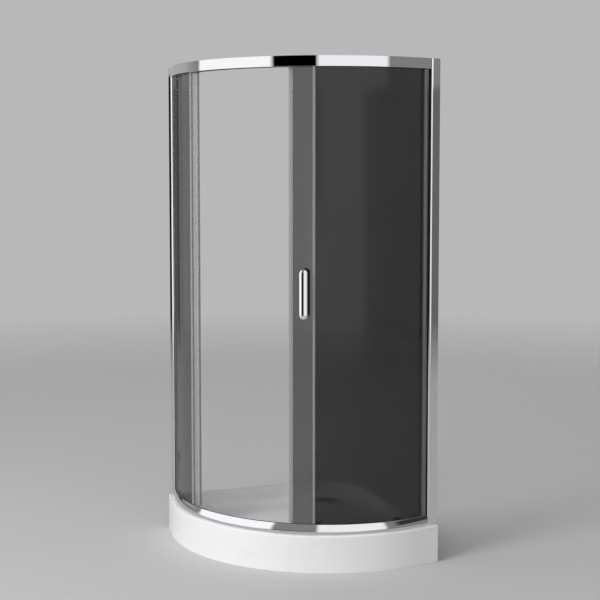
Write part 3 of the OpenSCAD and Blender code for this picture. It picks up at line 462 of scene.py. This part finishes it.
def tray_outline(inset, wall_inset=0.0):
    """Plan of the tray drawn in by an inset on the front and by another along the walls. The front
    leaves its arc at an angle a past each end and runs straight on along the tangent to the wall, so
    it meets the wall plane at x = x of the arc's end + tan a times the distance that is left."""
    s = bpy.context.scene.enclosure_sizes
    corner, axis = corner_at() - wall_inset, axis_at()
    past = math.degrees(s.apron_turn)
    front = arc_points((axis, axis), s.arc_radius - inset, 180 - past, 270 + past, 181)
    left = front[0, 0] + math.tan(s.apron_turn) * (corner - front[0, 1])
    return np.concatenate([[[corner, corner], [left, corner]], front, [[corner, left]]])


def basin_outline(inset):
    """Plan of the basin: its front arc, two round ends, two straight wall sides and a round corner,
    all drawn in by an inset. An end's centre lies end + inset inside both the arc and the wall side."""
    s = bpy.context.scene.enclosure_sizes
    corner, axis = corner_at(), axis_at()
    limit = corner - s.wall_ledge
    front = s.arc_radius - s.front_ledge
    reach = math.sqrt((front - s.basin_end) ** 2 - (limit - s.basin_end - axis) ** 2)
    end_r, far_r = s.basin_end - inset, s.basin_corner - inset
    left_c = (axis - reach, limit - s.basin_end)
    right_c = (limit - s.basin_end, axis - reach)
    turn = math.degrees(math.atan2(left_c[1] - axis, reach))
    far_c = (limit - s.basin_corner,) * 2
    return np.concatenate([
        arc_points(far_c, far_r, 0, 90, 41), arc_points(left_c, end_r, 90, 180 - turn, 31),
        arc_points((axis, axis), front - inset, 180 - turn, 270 + turn, 181),
        arc_points(right_c, end_r, 270 + turn, 360, 31)])


def tray_rings(directions, hub, inset):
    """Rings of the tray from its foot over the ledge and down the basin to the waste hole, each a
    reach along every direction and a height. An inset gives the under surface of the shell. The
    rounded edge follows a quarter circle. The basin's side falls by the mean of the smooth step
    3 u^2 - 2 u^3 and a straight slope from u = 0.05 to 0.95, while u goes from 0 at the rim to 1 at
    the floor. Rings close to a bend keep the shading of the flat beside it steady."""
    s = bpy.context.scene.enclosure_sizes
    face = ray_reach(directions, tray_outline(0) - hub)
    points = directions * face[:, None] + hub
    walled = (points > corner_at() - NEAR / 10).any(1)
    kept = (points < tray_outline(0)[1, 0] + s.apron_return).any(1)
    outer = ray_reach(directions, tray_outline(inset, inset) - hub)
    inner = ray_reach(directions, tray_outline(s.edge_round, inset) - hub)
    top, r = s.tray_height - inset, s.edge_round - inset
    foot = np.where(walled & ~kept, s.tray_height - s.skirt, 0.0)
    rings = [(outer, foot), (outer, (foot + top - r) / 2)]
    rings += [(outer, np.full_like(outer, top - r - low)) for low in (STEADY, 0)]
    for a in np.radians((15, 30, 45, 60, 75, 90)):
        edge = np.where(walled, outer, outer + (inner - outer) * (1 - math.cos(a)))
        rings.append((edge, np.where(walled, top, top - r + r * math.sin(a))))
    grown = -0.4 * inset
    rim = ray_reach(directions, basin_outline(grown) - hub)
    rings.append((np.where(walled, outer * 0.999, inner - STEADY), np.full_like(rim, top)))
    for u in (0.4, 0.95):
        rings.append((inner * (1 - u) + rim * u, np.full_like(rim, top)))
    for u in np.linspace(0, 1, 25):
        smooth, straight = 3 * u ** 2 - 2 * u ** 3, np.clip((u - 0.05) / 0.9, 0, 1)
        reach = ray_reach(directions, basin_outline(s.basin_slope * u + grown) - hub)
        rings.append((reach, np.full_like(rim, top - s.basin_depth * (smooth + straight) / 2)))
    floor, last = top - s.basin_depth, rings[-1][0]
    hole = np.full_like(rim, s.waste_radius)
    dish, dip = hole + 0.002, 0.001
    for u in (0.35, 0.7, 0.95, 1):
        rings.append((last + (dish - last) * u, np.full_like(rim, floor)))
    rings.append((hole, np.full_like(rim, floor if inset else floor - dip)))
    return rings


class ENCLOSURE_OT_tray(bpy.types.Operator):
    """Builds the white tray with its apron, ledge, sloping basin and waste hole"""

    bl_idname = "enclosure.tray"
    bl_label = "Tray"

    def execute(self, context):
        s = context.scene.enclosure_sizes
        corner = corner_at()
        hub = np.array([corner - s.waste_offset] * 2)
        outline = tray_outline(0)
        turned = outline[1, 0] + s.apron_return
        before, after = turned - NEAR, turned + NEAR
        bends = [[before, corner], [after, corner], [corner, before], [corner, after]]
        marks = np.concatenate([outline[[0, 1, 2, -2, -1]], bends]) - hub
        turns = np.concatenate([np.linspace(-math.pi, math.pi, 720, endpoint=False),
                                np.arctan2(marks[:, 1], marks[:, 0])])
        turns = np.unique(np.round(turns, 5))
        directions = np.stack([np.cos(turns), np.sin(turns)], -1)
        rings = tray_rings(directions, hub, 0) + tray_rings(directions, hub, s.shell)[::-1]
        points = np.stack([np.column_stack([directions * reach[:, None] + hub, z])
                           for reach, z in rings])
        faces = quads(*points.shape[:2], ring=True)
        tray = mesh_piece("tray_moulding", points, faces, "acrylic", "enclosure")
        face_outwards(tray, sharp=35)
        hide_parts("tray_shell")
        return {"FINISHED"}


# Sections

# Corners of closed outlines in millimetres: the place across, the height or depth, and the radius
# that rounds the corner
PLAIN, FINE, SOFT, TRACK = 0.0, 0.4, 0.6, 0.9
TOP_RAIL = (
    (0, 0, SOFT), (0, 42, SOFT), (-46, 42, SOFT), (-46, 0, FINE), (-34, 0, PLAIN), (-34, 7, TRACK),
    (-37, 7, TRACK), (-37, 2, PLAIN), (-44.4, 2, PLAIN), (-44.4, 40, PLAIN), (-26.6, 40, PLAIN),
    (-26.6, 35.2, FINE), (-25.1, 35.2, FINE), (-25.1, 40, PLAIN), (-22.9, 40, PLAIN),
    (-22.9, 35.2, FINE), (-21.4, 35.2, FINE), (-21.4, 40, PLAIN), (-16.6, 40, PLAIN),
    (-16.6, 0, FINE), (-15, 0, FINE), (-15, 40, PLAIN), (-5, 40, PLAIN), (-5, 0, FINE))
BOTTOM_RAIL = (
    (-5, 43, FINE), (-5, 2, PLAIN), (-15, 2, PLAIN), (-15, 36, FINE), (-16.6, 36, FINE),
    (-16.6, 2, PLAIN), (-21.4, 2, PLAIN), (-21.4, 6.8, FINE), (-22.9, 6.8, FINE), (-22.9, 2, PLAIN),
    (-25.1, 2, PLAIN), (-25.1, 6.8, FINE), (-26.6, 6.8, FINE), (-26.6, 2, PLAIN), (-34, 2, PLAIN),
    (-34, 9, TRACK), (-37, 9, TRACK), (-37, 2, PLAIN), (-44.4, 2, PLAIN), (-44.4, 16, FINE),
    (-46, 16, FINE), (-46, 0, FINE), (0, 0, FINE), (0, 11, PLAIN))
# The bottom rail's lip is a black strip just behind the rail's front wall. It stands above the front's
# top edge and draws a dark line along the top of the rail.
RAIL_LIP = ((-5.2, 40, PLAIN), (-5.2, 45, FINE), (-6.8, 45, FINE), (-6.8, 40, PLAIN))
NOSE = ((30, 0, PLAIN), (31, 0.03, PLAIN), (32, 0.12, PLAIN), (33, 0.3, PLAIN), (34, 0.54, PLAIN),
        (35, 0.86, PLAIN), (36, 1.25, PLAIN), (37, 1.71, PLAIN), (38, 2.25, PLAIN), (39, 2.87, PLAIN),
        (40, 3.6, PLAIN), (41, 4.4, PLAIN))
SIDE_PROFILE = (
    (8, 16.99, PLAIN), (8, 2.3, PLAIN), (30, 2.3, PLAIN)) + NOSE + (
    (41, 5, PLAIN), (24, 5, PLAIN), (24, 20.5, PLAIN), (41, 20.5, PLAIN), (41, 34, 4.0),
    (30, 34, FINE), (30, 31.7, PLAIN), (8, 31.7, PLAIN), (8, 17.01, PLAIN), (9.6, 17.01, PLAIN),
    (9.6, 30.1, PLAIN), (22.4, 30.1, PLAIN), (22.4, 26.01, PLAIN), (24, 26.01, PLAIN),
    (24, 30.1, PLAIN), (37.5, 30.1, PLAIN), (37.5, 22.5, PLAIN), (24, 22.5, PLAIN),
    (24, 25.99, PLAIN), (22.4, 25.99, PLAIN), (22.4, 3.9, PLAIN), (9.6, 3.9, PLAIN),
    (9.6, 16.99, PLAIN))


def unit(vector):
    """A vector's direction."""
    return vector / np.linalg.norm(vector)


def softened(corners):
    """Section outline with rounded corners, in metres. At a corner p between unit edges a and b, a
    radius r starts r / tan(half the corner's angle) before p and follows the circle that touches
    both. A corner that is almost straight stays plain."""
    p = np.array([corner[:2] for corner in corners], float)
    outline = []
    for (x, y, r), before, after in zip(corners, np.roll(p, 1, 0), np.roll(p, -1, 0)):
        here = np.array((x, y), float)
        a, b = unit(before - here), unit(after - here)
        half = math.acos(max(-1.0, min(1.0, float(a @ b)))) / 2
        if r <= 0 or half > math.radians(86):
            outline.append(here)
            continue
        centre = here + unit(a + b) * r / math.sin(half)
        first = here + a * r / math.tan(half) - centre
        last = here + b * r / math.tan(half) - centre
        outline += [centre + unit(first * (1 - u) + last * u) * r for u in np.linspace(0, 1, 6)]
    return steadied(np.array(outline)) / 1000


def steadied(outline, margin=0.05):
    """Closed outline with two more points, a margin from the ends, on each side that is longer than
    twenty margins, so that smooth shading keeps the side flat."""
    points = []
    for here, after in zip(outline, np.roll(outline, -1, 0)):
        way = after - here
        far = np.linalg.norm(way)
        points.append(here)
        if far > 20 * margin:
            points += [here + way * margin / far, after - way * margin / far]
    return np.array(points)


def bulged_front(radius, foot, low=14, high=42.2, count=15):
    """Corners of the bottom rail's front above its foot, in millimetres: at a height h the front lies
    at sqrt(radius^2 - (h - foot)^2) - radius, so it leaves the foot upright."""
    return tuple((math.sqrt(radius ** 2 - (h - foot) ** 2) - radius, h, PLAIN)
                 for h in np.linspace(low, high, count))


def nose_angle(r):
    """Angle past t = 0 or 90 degrees at which a circle of radius r meets the side profile's nose."""
    s = bpy.context.scene.enclosure_sizes
    return np.arcsin((arc_wall() - s.profile_reach) / r)


def rail_piece(name, section, foot, slot, steps=220):
    """Carries a section along the front from one side profile to the other. The share k of the way
    goes from 0 to 1 and gives the angle t = - e + (quarter turn + 2 e) k, where e is the nose angle
    at a point's own radius. Both ends are closed by flat faces."""
    s = bpy.context.scene.enclosure_sizes
    outline = softened(section) + np.array([s.face_radius, foot])
    past = nose_angle(outline[:, 0])
    t = -past + (math.pi / 2 + 2 * past) * np.linspace(0, 1, steps + 1)[:, None]
    points = on_front(outline[:, 0] + 0 * t, t, outline[:, 1] + 0 * t)
    m, n = points.shape[:2]
    piece = mesh_piece(name, points, list(quads(m, n)) + closed_ends(m, n), slot, "enclosure")
    face_outwards(piece, sharp=30)
    return piece


class ENCLOSURE_OT_rails(bpy.types.Operator):
    """Carries the sections of the two rails and the lower rail's lip along the front"""

    bl_idname = "enclosure.rails"
    bl_label = "Rails"

    def execute(self, context):
        bulge = context.scene.enclosure_sizes.bulge_radius * 1000
        front = bulged_front(bulge, BOTTOM_RAIL[-1][1])
        crowned = BOTTOM_RAIL + front + ((front[-1][0] - 0.5, BOTTOM_RAIL[0][1], PLAIN),)
        for name, section in (("top_rail", TOP_RAIL), ("bottom_rail", crowned)):
            rail = rail_piece(name + "_extrusion", section, RAIL_FOOT[name], "bright_aluminium")
            if section is crowned:
                rail.data.materials[0] = finish("crowned_aluminium")
            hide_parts(name)
        # The lip is a black strip that draws a dark line along the bottom rail's top edge.
        rail_piece("bottom_rail_lip", RAIL_LIP, RAIL_FOOT["bottom_rail"], "black_rubber")
        return {"FINISHED"}


class ENCLOSURE_OT_profiles(bpy.types.Operator):
    """Draws the side profiles with their bulged noses up from the tray to the top rail"""

    bl_idname = "enclosure.profiles"
    bl_label = "Side profiles"

    def execute(self, context):
        outline = softened(SIDE_PROFILE)
        low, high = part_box("left_side_profile")
        z = np.array([[low.z], [high.z]])
        from_wall = corner_at() - outline[:, 0] + 0 * z
        along = low.x + outline[:, 1] + 0 * z
        n = len(outline)
        faces = list(quads(2, n)) + closed_ends(2, n)
        for side, x, y in (("left", along, from_wall), ("right", from_wall, along)):
            points = np.stack([x, y, z + 0 * x], -1)
            piece = mesh_piece(side + "_profile_section", points, faces, "bright_aluminium",
                               "enclosure")
            face_outwards(piece, sharp=30)
            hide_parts(side + "_side_profile")
        return {"FINISHED"}


# Handles

# The door's two faces: the bar's name, the way it points and the glass's radius there
DOOR_FACES = (("outer", 1, 0.653), ("inner", -1, 0.647))
# Radius that rounds the foot of a bar
BAR_FOOT_ROUND = 0.0012


def bar_section(width, depth, face, edge):
    """Half outline of a handle bar as half width w and height h: a small rounded foot, an upright
    side, a shoulder of radius e and a crown of radius R. The shoulder's centre lies e inside the side
    and R - e from the crown's centre, so both meet at sin a = (width / 2 - e) / (R - e)."""
    foot, side = BAR_FOOT_ROUND, width / 2
    reach = side - edge
    shoulder = depth - face + math.sqrt((face - edge) ** 2 - reach ** 2)
    meet = math.asin(reach / (face - edge))
    parts = ((side - foot, foot, foot, np.linspace(math.pi, math.pi / 2, 6)),
             (reach, shoulder, edge, np.linspace(math.pi / 2, meet, 20)),
             (0, depth - face, face, np.linspace(meet, 0, 24)))
    arcs = [np.stack([w + r * np.sin(a), h + r * np.cos(a)], -1) for w, h, r, a in parts]
    return np.concatenate([[[0, 0]], arcs[0], arcs[1], arcs[2][1:]])


def bar_surface(width, depth, face, edge, full, count=49):
    """Surface of a bar: the half section is carried round a stadium in the (y, z) plane. At turn a
    the point is (h, w cos a, w sin a + straight half length for the upper half, - for the lower)."""
    section = bar_section(width, depth, face, edge)
    straight = (full - width) / 2
    a = np.concatenate([np.linspace(0, math.pi, count), np.linspace(math.pi, 2 * math.pi, count)])
    shift = np.repeat([straight, -straight], count)
    w, h = section[:, 0][:, None], section[:, 1][:, None]
    return np.stack([h + 0 * a, w * np.cos(a), w * np.sin(a) + shift], -1)


def rod_surface(radius, low, high, y, z, count=40):
    """Surface of a round post along local X with closed ends, as rings of radius times (cos, sin)."""
    a = np.linspace(0, 2 * math.pi, count, endpoint=False)
    ring = np.array([[0, low], [radius, low], [radius, high], [0, high]])
    r, x = ring[:, 0][:, None], ring[:, 1][:, None]
    return np.stack([x + 0 * a, y + r * np.cos(a), z + r * np.sin(a)], -1)


def outward_frame(points, radius, t, z, flip):
    """Carries local points to the front: local X points outwards from radius, or inwards where flip
    is -1, local Y runs along the front and local Z up."""
    axis = axis_at()
    out = np.array([-math.cos(t), -math.sin(t), 0.0])
    along = np.array([math.sin(t), -math.cos(t), 0.0])
    up = np.array([0.0, 0.0, 1.0])
    base = np.array([axis, axis, z]) + out * radius
    return base + points[..., :1] * flip * out + points[..., 1:2] * along + points[..., 2:] * up


def joined(surfaces):
    """One list of points and one of faces from several grids, whose rows close on themselves."""
    points, faces, start = [], [], 0
    for p in surfaces:
        faces.append(quads(*p.shape[:2]) + start)
        points.append(p.reshape(-1, 3))
        start += len(points[-1])
    return np.concatenate(points), np.concatenate(faces)


class ENCLOSURE_OT_handles(bpy.types.Operator):
    """Builds the two bulged handle bars and their posts"""

    bl_idname = "enclosure.handles"
    bl_label = "Handles"

    def execute(self, context):
        s = context.scene.enclosure_sizes
        middle = (BAR_FOOT + BAR_HEAD) / 2
        for side, flip, radius in DOOR_FACES:
            bar = bar_surface(s.bar_width, s.bar_depth, s.bar_face, s.bar_edge, s.bar_length)
            bar[..., 0] += s.bar_gap
            posts = [rod_surface(s.post_radius, s.post_sink, s.bar_gap + s.post_sink, 0,
                                 way * s.post_pitch / 2) for way in (-1, 1)]
            points, faces = joined([bar] + posts)
            points = outward_frame(points, radius, s.handle_angle, middle, flip)
            piece = mesh_piece("handle_bar_" + side, points, faces, "bright_chrome", "door")
            face_outwards(piece)
            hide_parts("handle_" + side)
        return {"FINISHED"}


# Finishes of the CAD pieces


class ENCLOSURE_OT_finishes(bpy.types.Operator):
    """Gives every CAD piece the finish of its slot"""

    bl_idname = "enclosure.finishes"
    bl_label = "Finishes"

    def execute(self, context):
        for part in frame["record"]["subparts"]:
            node = frame["nodes"][part["node"]]
            node.data.materials.clear()
            node.data.materials.append(finish(part["material_slot"]))
        return {"FINISHED"}


# Stage

# Lamps: name, kind, power, place, target and further settings
LAMPS = (("key", "AREA", 150, (-4.8, -2.0, 3.4), (0, 0, 0.6), {"size": 2.4}),
         ("overhead", "SUN", 0.85, (-1.4, -0.8, 4.0), (0, 0, 0), {"angle": math.radians(40)}))
# Camera: place, turn and tilt, lens and sensor in millimetres, and shift of the picture
CAMERA_PLACE = (-1.9302, -5.0175, 1.6012)
CAMERA_YAW, CAMERA_PITCH = math.radians(21.2534), math.radians(4.4331)
CAMERA_LENS, CAMERA_SENSOR, CAMERA_SHIFT = 76.559, 36.0, -0.05

# Layers of the studio's light by the height z of a direction, with their soft edges. The top rail
# mirrors the high layer, the bottom rail's crown the middle one, and the upright handle and profiles
# the low one. The high gap, the left darkness and the darkness at the back have limits of their own.
HIGH_FOOT, HIGH_TOP, HIGH_EDGE = 0.061, 0.75, 0.006
LOW_TOP, LOW_EDGE = -0.02, 0.01
GAP_TOP = 0.105
LEFT_TOP, LEFT_EDGE = 0.072, 0.0025
BACK_FOOT, BACK_TOP, BACK_EDGE, BACK_STRENGTH = 0.18, 0.42, 0.03, 0.85
# Bands of light and of darkness round the object: first and last angle, soft edge and strength
AMBIENT = 0.25
HIGH_WALLS = ((-38.0, 30.5, 3.0, 0.92), (61.0, 115.0, 3.0, 0.8), (-120.0, -38.0, 20.0, 0.2))
MIDDLE_WALLS = ((-40.0, 24.0, 6.0, 0.92), (60.0, 100.0, 8.0, 0.8))
LOW_WALLS = ((-50.0, 32.0, 4.0, 0.9), (56.0, 100.0, 6.0, 0.7))
HIGH_GAP = ((30.5, 61.5, 0.6, 1.0),)
MIDDLE_GAP = ((24.0, 60.0, 5.0, 0.9),)
LOW_GAP = ((30.0, 58.0, 3.0, 0.95),)
LEFT_DARK = ((-84.0, -64.0, 3.0, 0.97),)
RIGHT_DARK = ((104.0, 150.0, 6.0, 0.4),)
FRONT_HALF = ((-98.0, 125.0, 6.0, 1.0),)


def lamp(name, kind, power, place, target, settings):
    """A soft lamp at a place that looks at a target. Mirrors show the studio's walls instead of it."""
    data = bpy.data.lights.new(name, kind)
    data.energy = power
    for key, value in settings.items():
        setattr(data, key, value)
    made = bpy.data.objects.new(name, data)
    made.location = place
    made.rotation_euler = (Vector(target) - Vector(place)).to_track_quat("-Z", "Y").to_euler()
    made.visible_glossy = False
    bpy.context.scene.collection.objects.link(made)


def fitted_camera():
    """The camera that a fit on the photograph gave. It looks along (sin yaw cos pitch,
    cos yaw cos pitch, - sin pitch)."""
    data = bpy.data.cameras.new("camera")
    data.lens, data.sensor_width, data.shift_y = CAMERA_LENS, CAMERA_SENSOR, CAMERA_SHIFT
    camera = bpy.data.objects.new("camera", data)
    level = math.cos(CAMERA_PITCH)
    look = Vector((math.sin(CAMERA_YAW) * level, math.cos(CAMERA_YAW) * level, -math.sin(CAMERA_PITCH)))
    camera.location = CAMERA_PLACE
    camera.rotation_euler = look.to_track_quat("-Z", "Y").to_euler()
    bpy.context.scene.collection.objects.link(camera)
    bpy.context.scene.camera = camera


def studio_floor(colour, edge=9.0, fade=4.0, drop=0.0005, sides=96):
    """A pale round floor, a drop under the object's foot. It is opaque up to a fade before its edge
    and clear at the edge."""
    f = Finish("studio floor")
    mottle = f.noise(2.0, detail=3.0)
    away = f.node("ShaderNodeVectorMath", {"operation": "LENGTH"}, {0: f.place()}, "Value")
    paper = f.surface(Base_Color=f.blend(mottle, scaled(colour, 0.98), colour[:]), Roughness=0.8,
                      Specular_IOR_Level=0.2, Alpha=1.0 - f.step(away, edge - fade, edge))
    a = np.linspace(0, 2 * math.pi, sides, endpoint=False)
    rim = np.stack([edge * np.cos(a), edge * np.sin(a), np.full_like(a, -drop)], -1)
    mesh = bpy.data.meshes.new("floor")
    mesh.from_pydata(rim.tolist(), [], [list(range(sides))])
    mesh.materials.append(paper)
    floor = bpy.data.objects.new("floor", mesh)
    bpy.context.scene.collection.objects.link(floor)


class Sky(Finish):
    """World shader of the studio, written with the same wires as the finishes."""

    def __init__(self, name):
        self.world = bpy.data.worlds.new(name)
        self.world.use_nodes = True
        self.tree = self.world.node_tree
        self.tree.nodes.clear()

    def window(self, value, low, high, soft):
        """1 between low and high with soft edges, 0 outside."""
        return self.step(value, low, low + soft) * (1.0 - self.step(value, high - soft, high))

    def bands(self, turn, table):
        """Sum of the windows of a table, each times its strength."""
        return sum(self.window(turn, low, high, soft) * strength for low, high, soft, strength in table)


def studio_sky(backdrop):
    """Light of the studio by direction, that is by its height z and its turn about Z, which is 0
    towards -X and 90 degrees towards -Y: grey all round, with walls of light in three layers and a
    dark gap between them. The camera sees an even pale backdrop, and metal shows that backdrop with
    the light and the dark in it."""
    sky = Sky("pale studio")
    x, y, z = sky.axes(sky.node("ShaderNodeTexCoord", out="Generated"))
    turn = sky.node("ShaderNodeMath", {"operation": "ARCTAN2"}, {0: y * -1.0, 1: x * -1.0})
    turn = turn * math.degrees(1)
    high = sky.window(z, HIGH_FOOT, HIGH_TOP, HIGH_EDGE)
    low = 1.0 - sky.step(z, LOW_TOP - LOW_EDGE, LOW_TOP)
    below = 1.0 - sky.step(z, HIGH_FOOT, HIGH_FOOT + HIGH_EDGE)
    middle = below - low
    light = (AMBIENT + high * sky.bands(turn, HIGH_WALLS) + middle * sky.bands(turn, MIDDLE_WALLS)
             + low * sky.bands(turn, LOW_WALLS))
    gap = (sky.bands(turn, HIGH_GAP) * sky.window(z, HIGH_FOOT, GAP_TOP, HIGH_EDGE)
           + middle * sky.bands(turn, MIDDLE_GAP) + low * sky.bands(turn, LOW_GAP))
    left = sky.bands(turn, LEFT_DARK) * (1.0 - sky.step(z, LEFT_TOP, LEFT_TOP + LEFT_EDGE))
    back = (sky.window(z, BACK_FOOT, BACK_TOP, BACK_EDGE) * (1.0 - sky.bands(turn, FRONT_HALF))
            * BACK_STRENGTH)
    right = below * sky.bands(turn, RIGHT_DARK)
    for dark in (gap, left, back, right):
        light = light * (1.0 - dark)
    camera, mirror, through = (sky.node("ShaderNodeLightPath", out=f"Is {kind} Ray")
                               for kind in ("Camera", "Glossy", "Transmission"))
    level = 1.0 + mirror * (light * (1 / backdrop[1]) - 1.0)
    lit = sky.node("ShaderNodeBackground", {}, {0: (1, 1, 1, 1), 1: light})
    seen = sky.node("ShaderNodeBackground", {}, {0: (*backdrop, 1), 1: level})
    shown = sky.node("ShaderNodeMixShader", {}, {0: camera + mirror + through, 1: lit, 2: seen})
    sky.node("ShaderNodeOutputWorld", {}, {"Surface": shown})
    bpy.context.scene.world = sky.world


class ENCLOSURE_OT_stage(bpy.types.Operator):
    """Sets the floor, the soft lights, the pale background and the camera"""

    bl_idname = "enclosure.stage"
    bl_label = "Stage"

    def execute(self, context):
        c = context.scene.enclosure_colours
        studio_floor(c.floor)
        studio_sky(c.backdrop)
        for settings in LAMPS:
            lamp(*settings)
        fitted_camera()
        context.scene.view_settings.view_transform = "Standard"
        return {"FINISHED"}


# Panel, registration and run


class ENCLOSURE_PT_panel(bpy.types.Panel):
    """Lists the pieces that can be built"""

    bl_idname = "ENCLOSURE_PT_panel"
    bl_label = "Shower Enclosure"
    bl_space_type = "VIEW_3D"
    bl_region_type = "UI"
    bl_category = "Enclosure"

    def draw(self, context):
        column = self.layout.column(align=True)
        for kind in BUILDERS:
            column.operator(kind.bl_idname)
        for group in (context.scene.enclosure_sizes, context.scene.enclosure_colours):
            box = self.layout.box()
            for key in group.bl_rna.properties.keys():
                if key not in ("rna_type", "name"):
                    box.prop(group, key)


BUILDERS = (ENCLOSURE_OT_finishes, ENCLOSURE_OT_tray, ENCLOSURE_OT_rails, ENCLOSURE_OT_profiles,
            ENCLOSURE_OT_handles, ENCLOSURE_OT_stage)
CLASSES = (EnclosureSizes, EnclosureColours, *BUILDERS, ENCLOSURE_PT_panel)


def register():
    """Adds the classes and the two groups of settings."""
    for kind in CLASSES:
        bpy.utils.register_class(kind)
    bpy.types.Scene.enclosure_sizes = PointerProperty(type=EnclosureSizes)
    bpy.types.Scene.enclosure_colours = PointerProperty(type=EnclosureColours)


def unregister():
    """Takes away what register added."""
    del bpy.types.Scene.enclosure_colours
    del bpy.types.Scene.enclosure_sizes
    for kind in reversed(CLASSES):
        bpy.utils.unregister_class(kind)


def main():
    register()
    bpy.ops.enclosure.finishes()
    bpy.ops.enclosure.tray()
    bpy.ops.enclosure.rails()
    bpy.ops.enclosure.profiles()
    bpy.ops.enclosure.handles()
    bpy.ops.enclosure.stage()


if __name__ == "__main__":
    main()
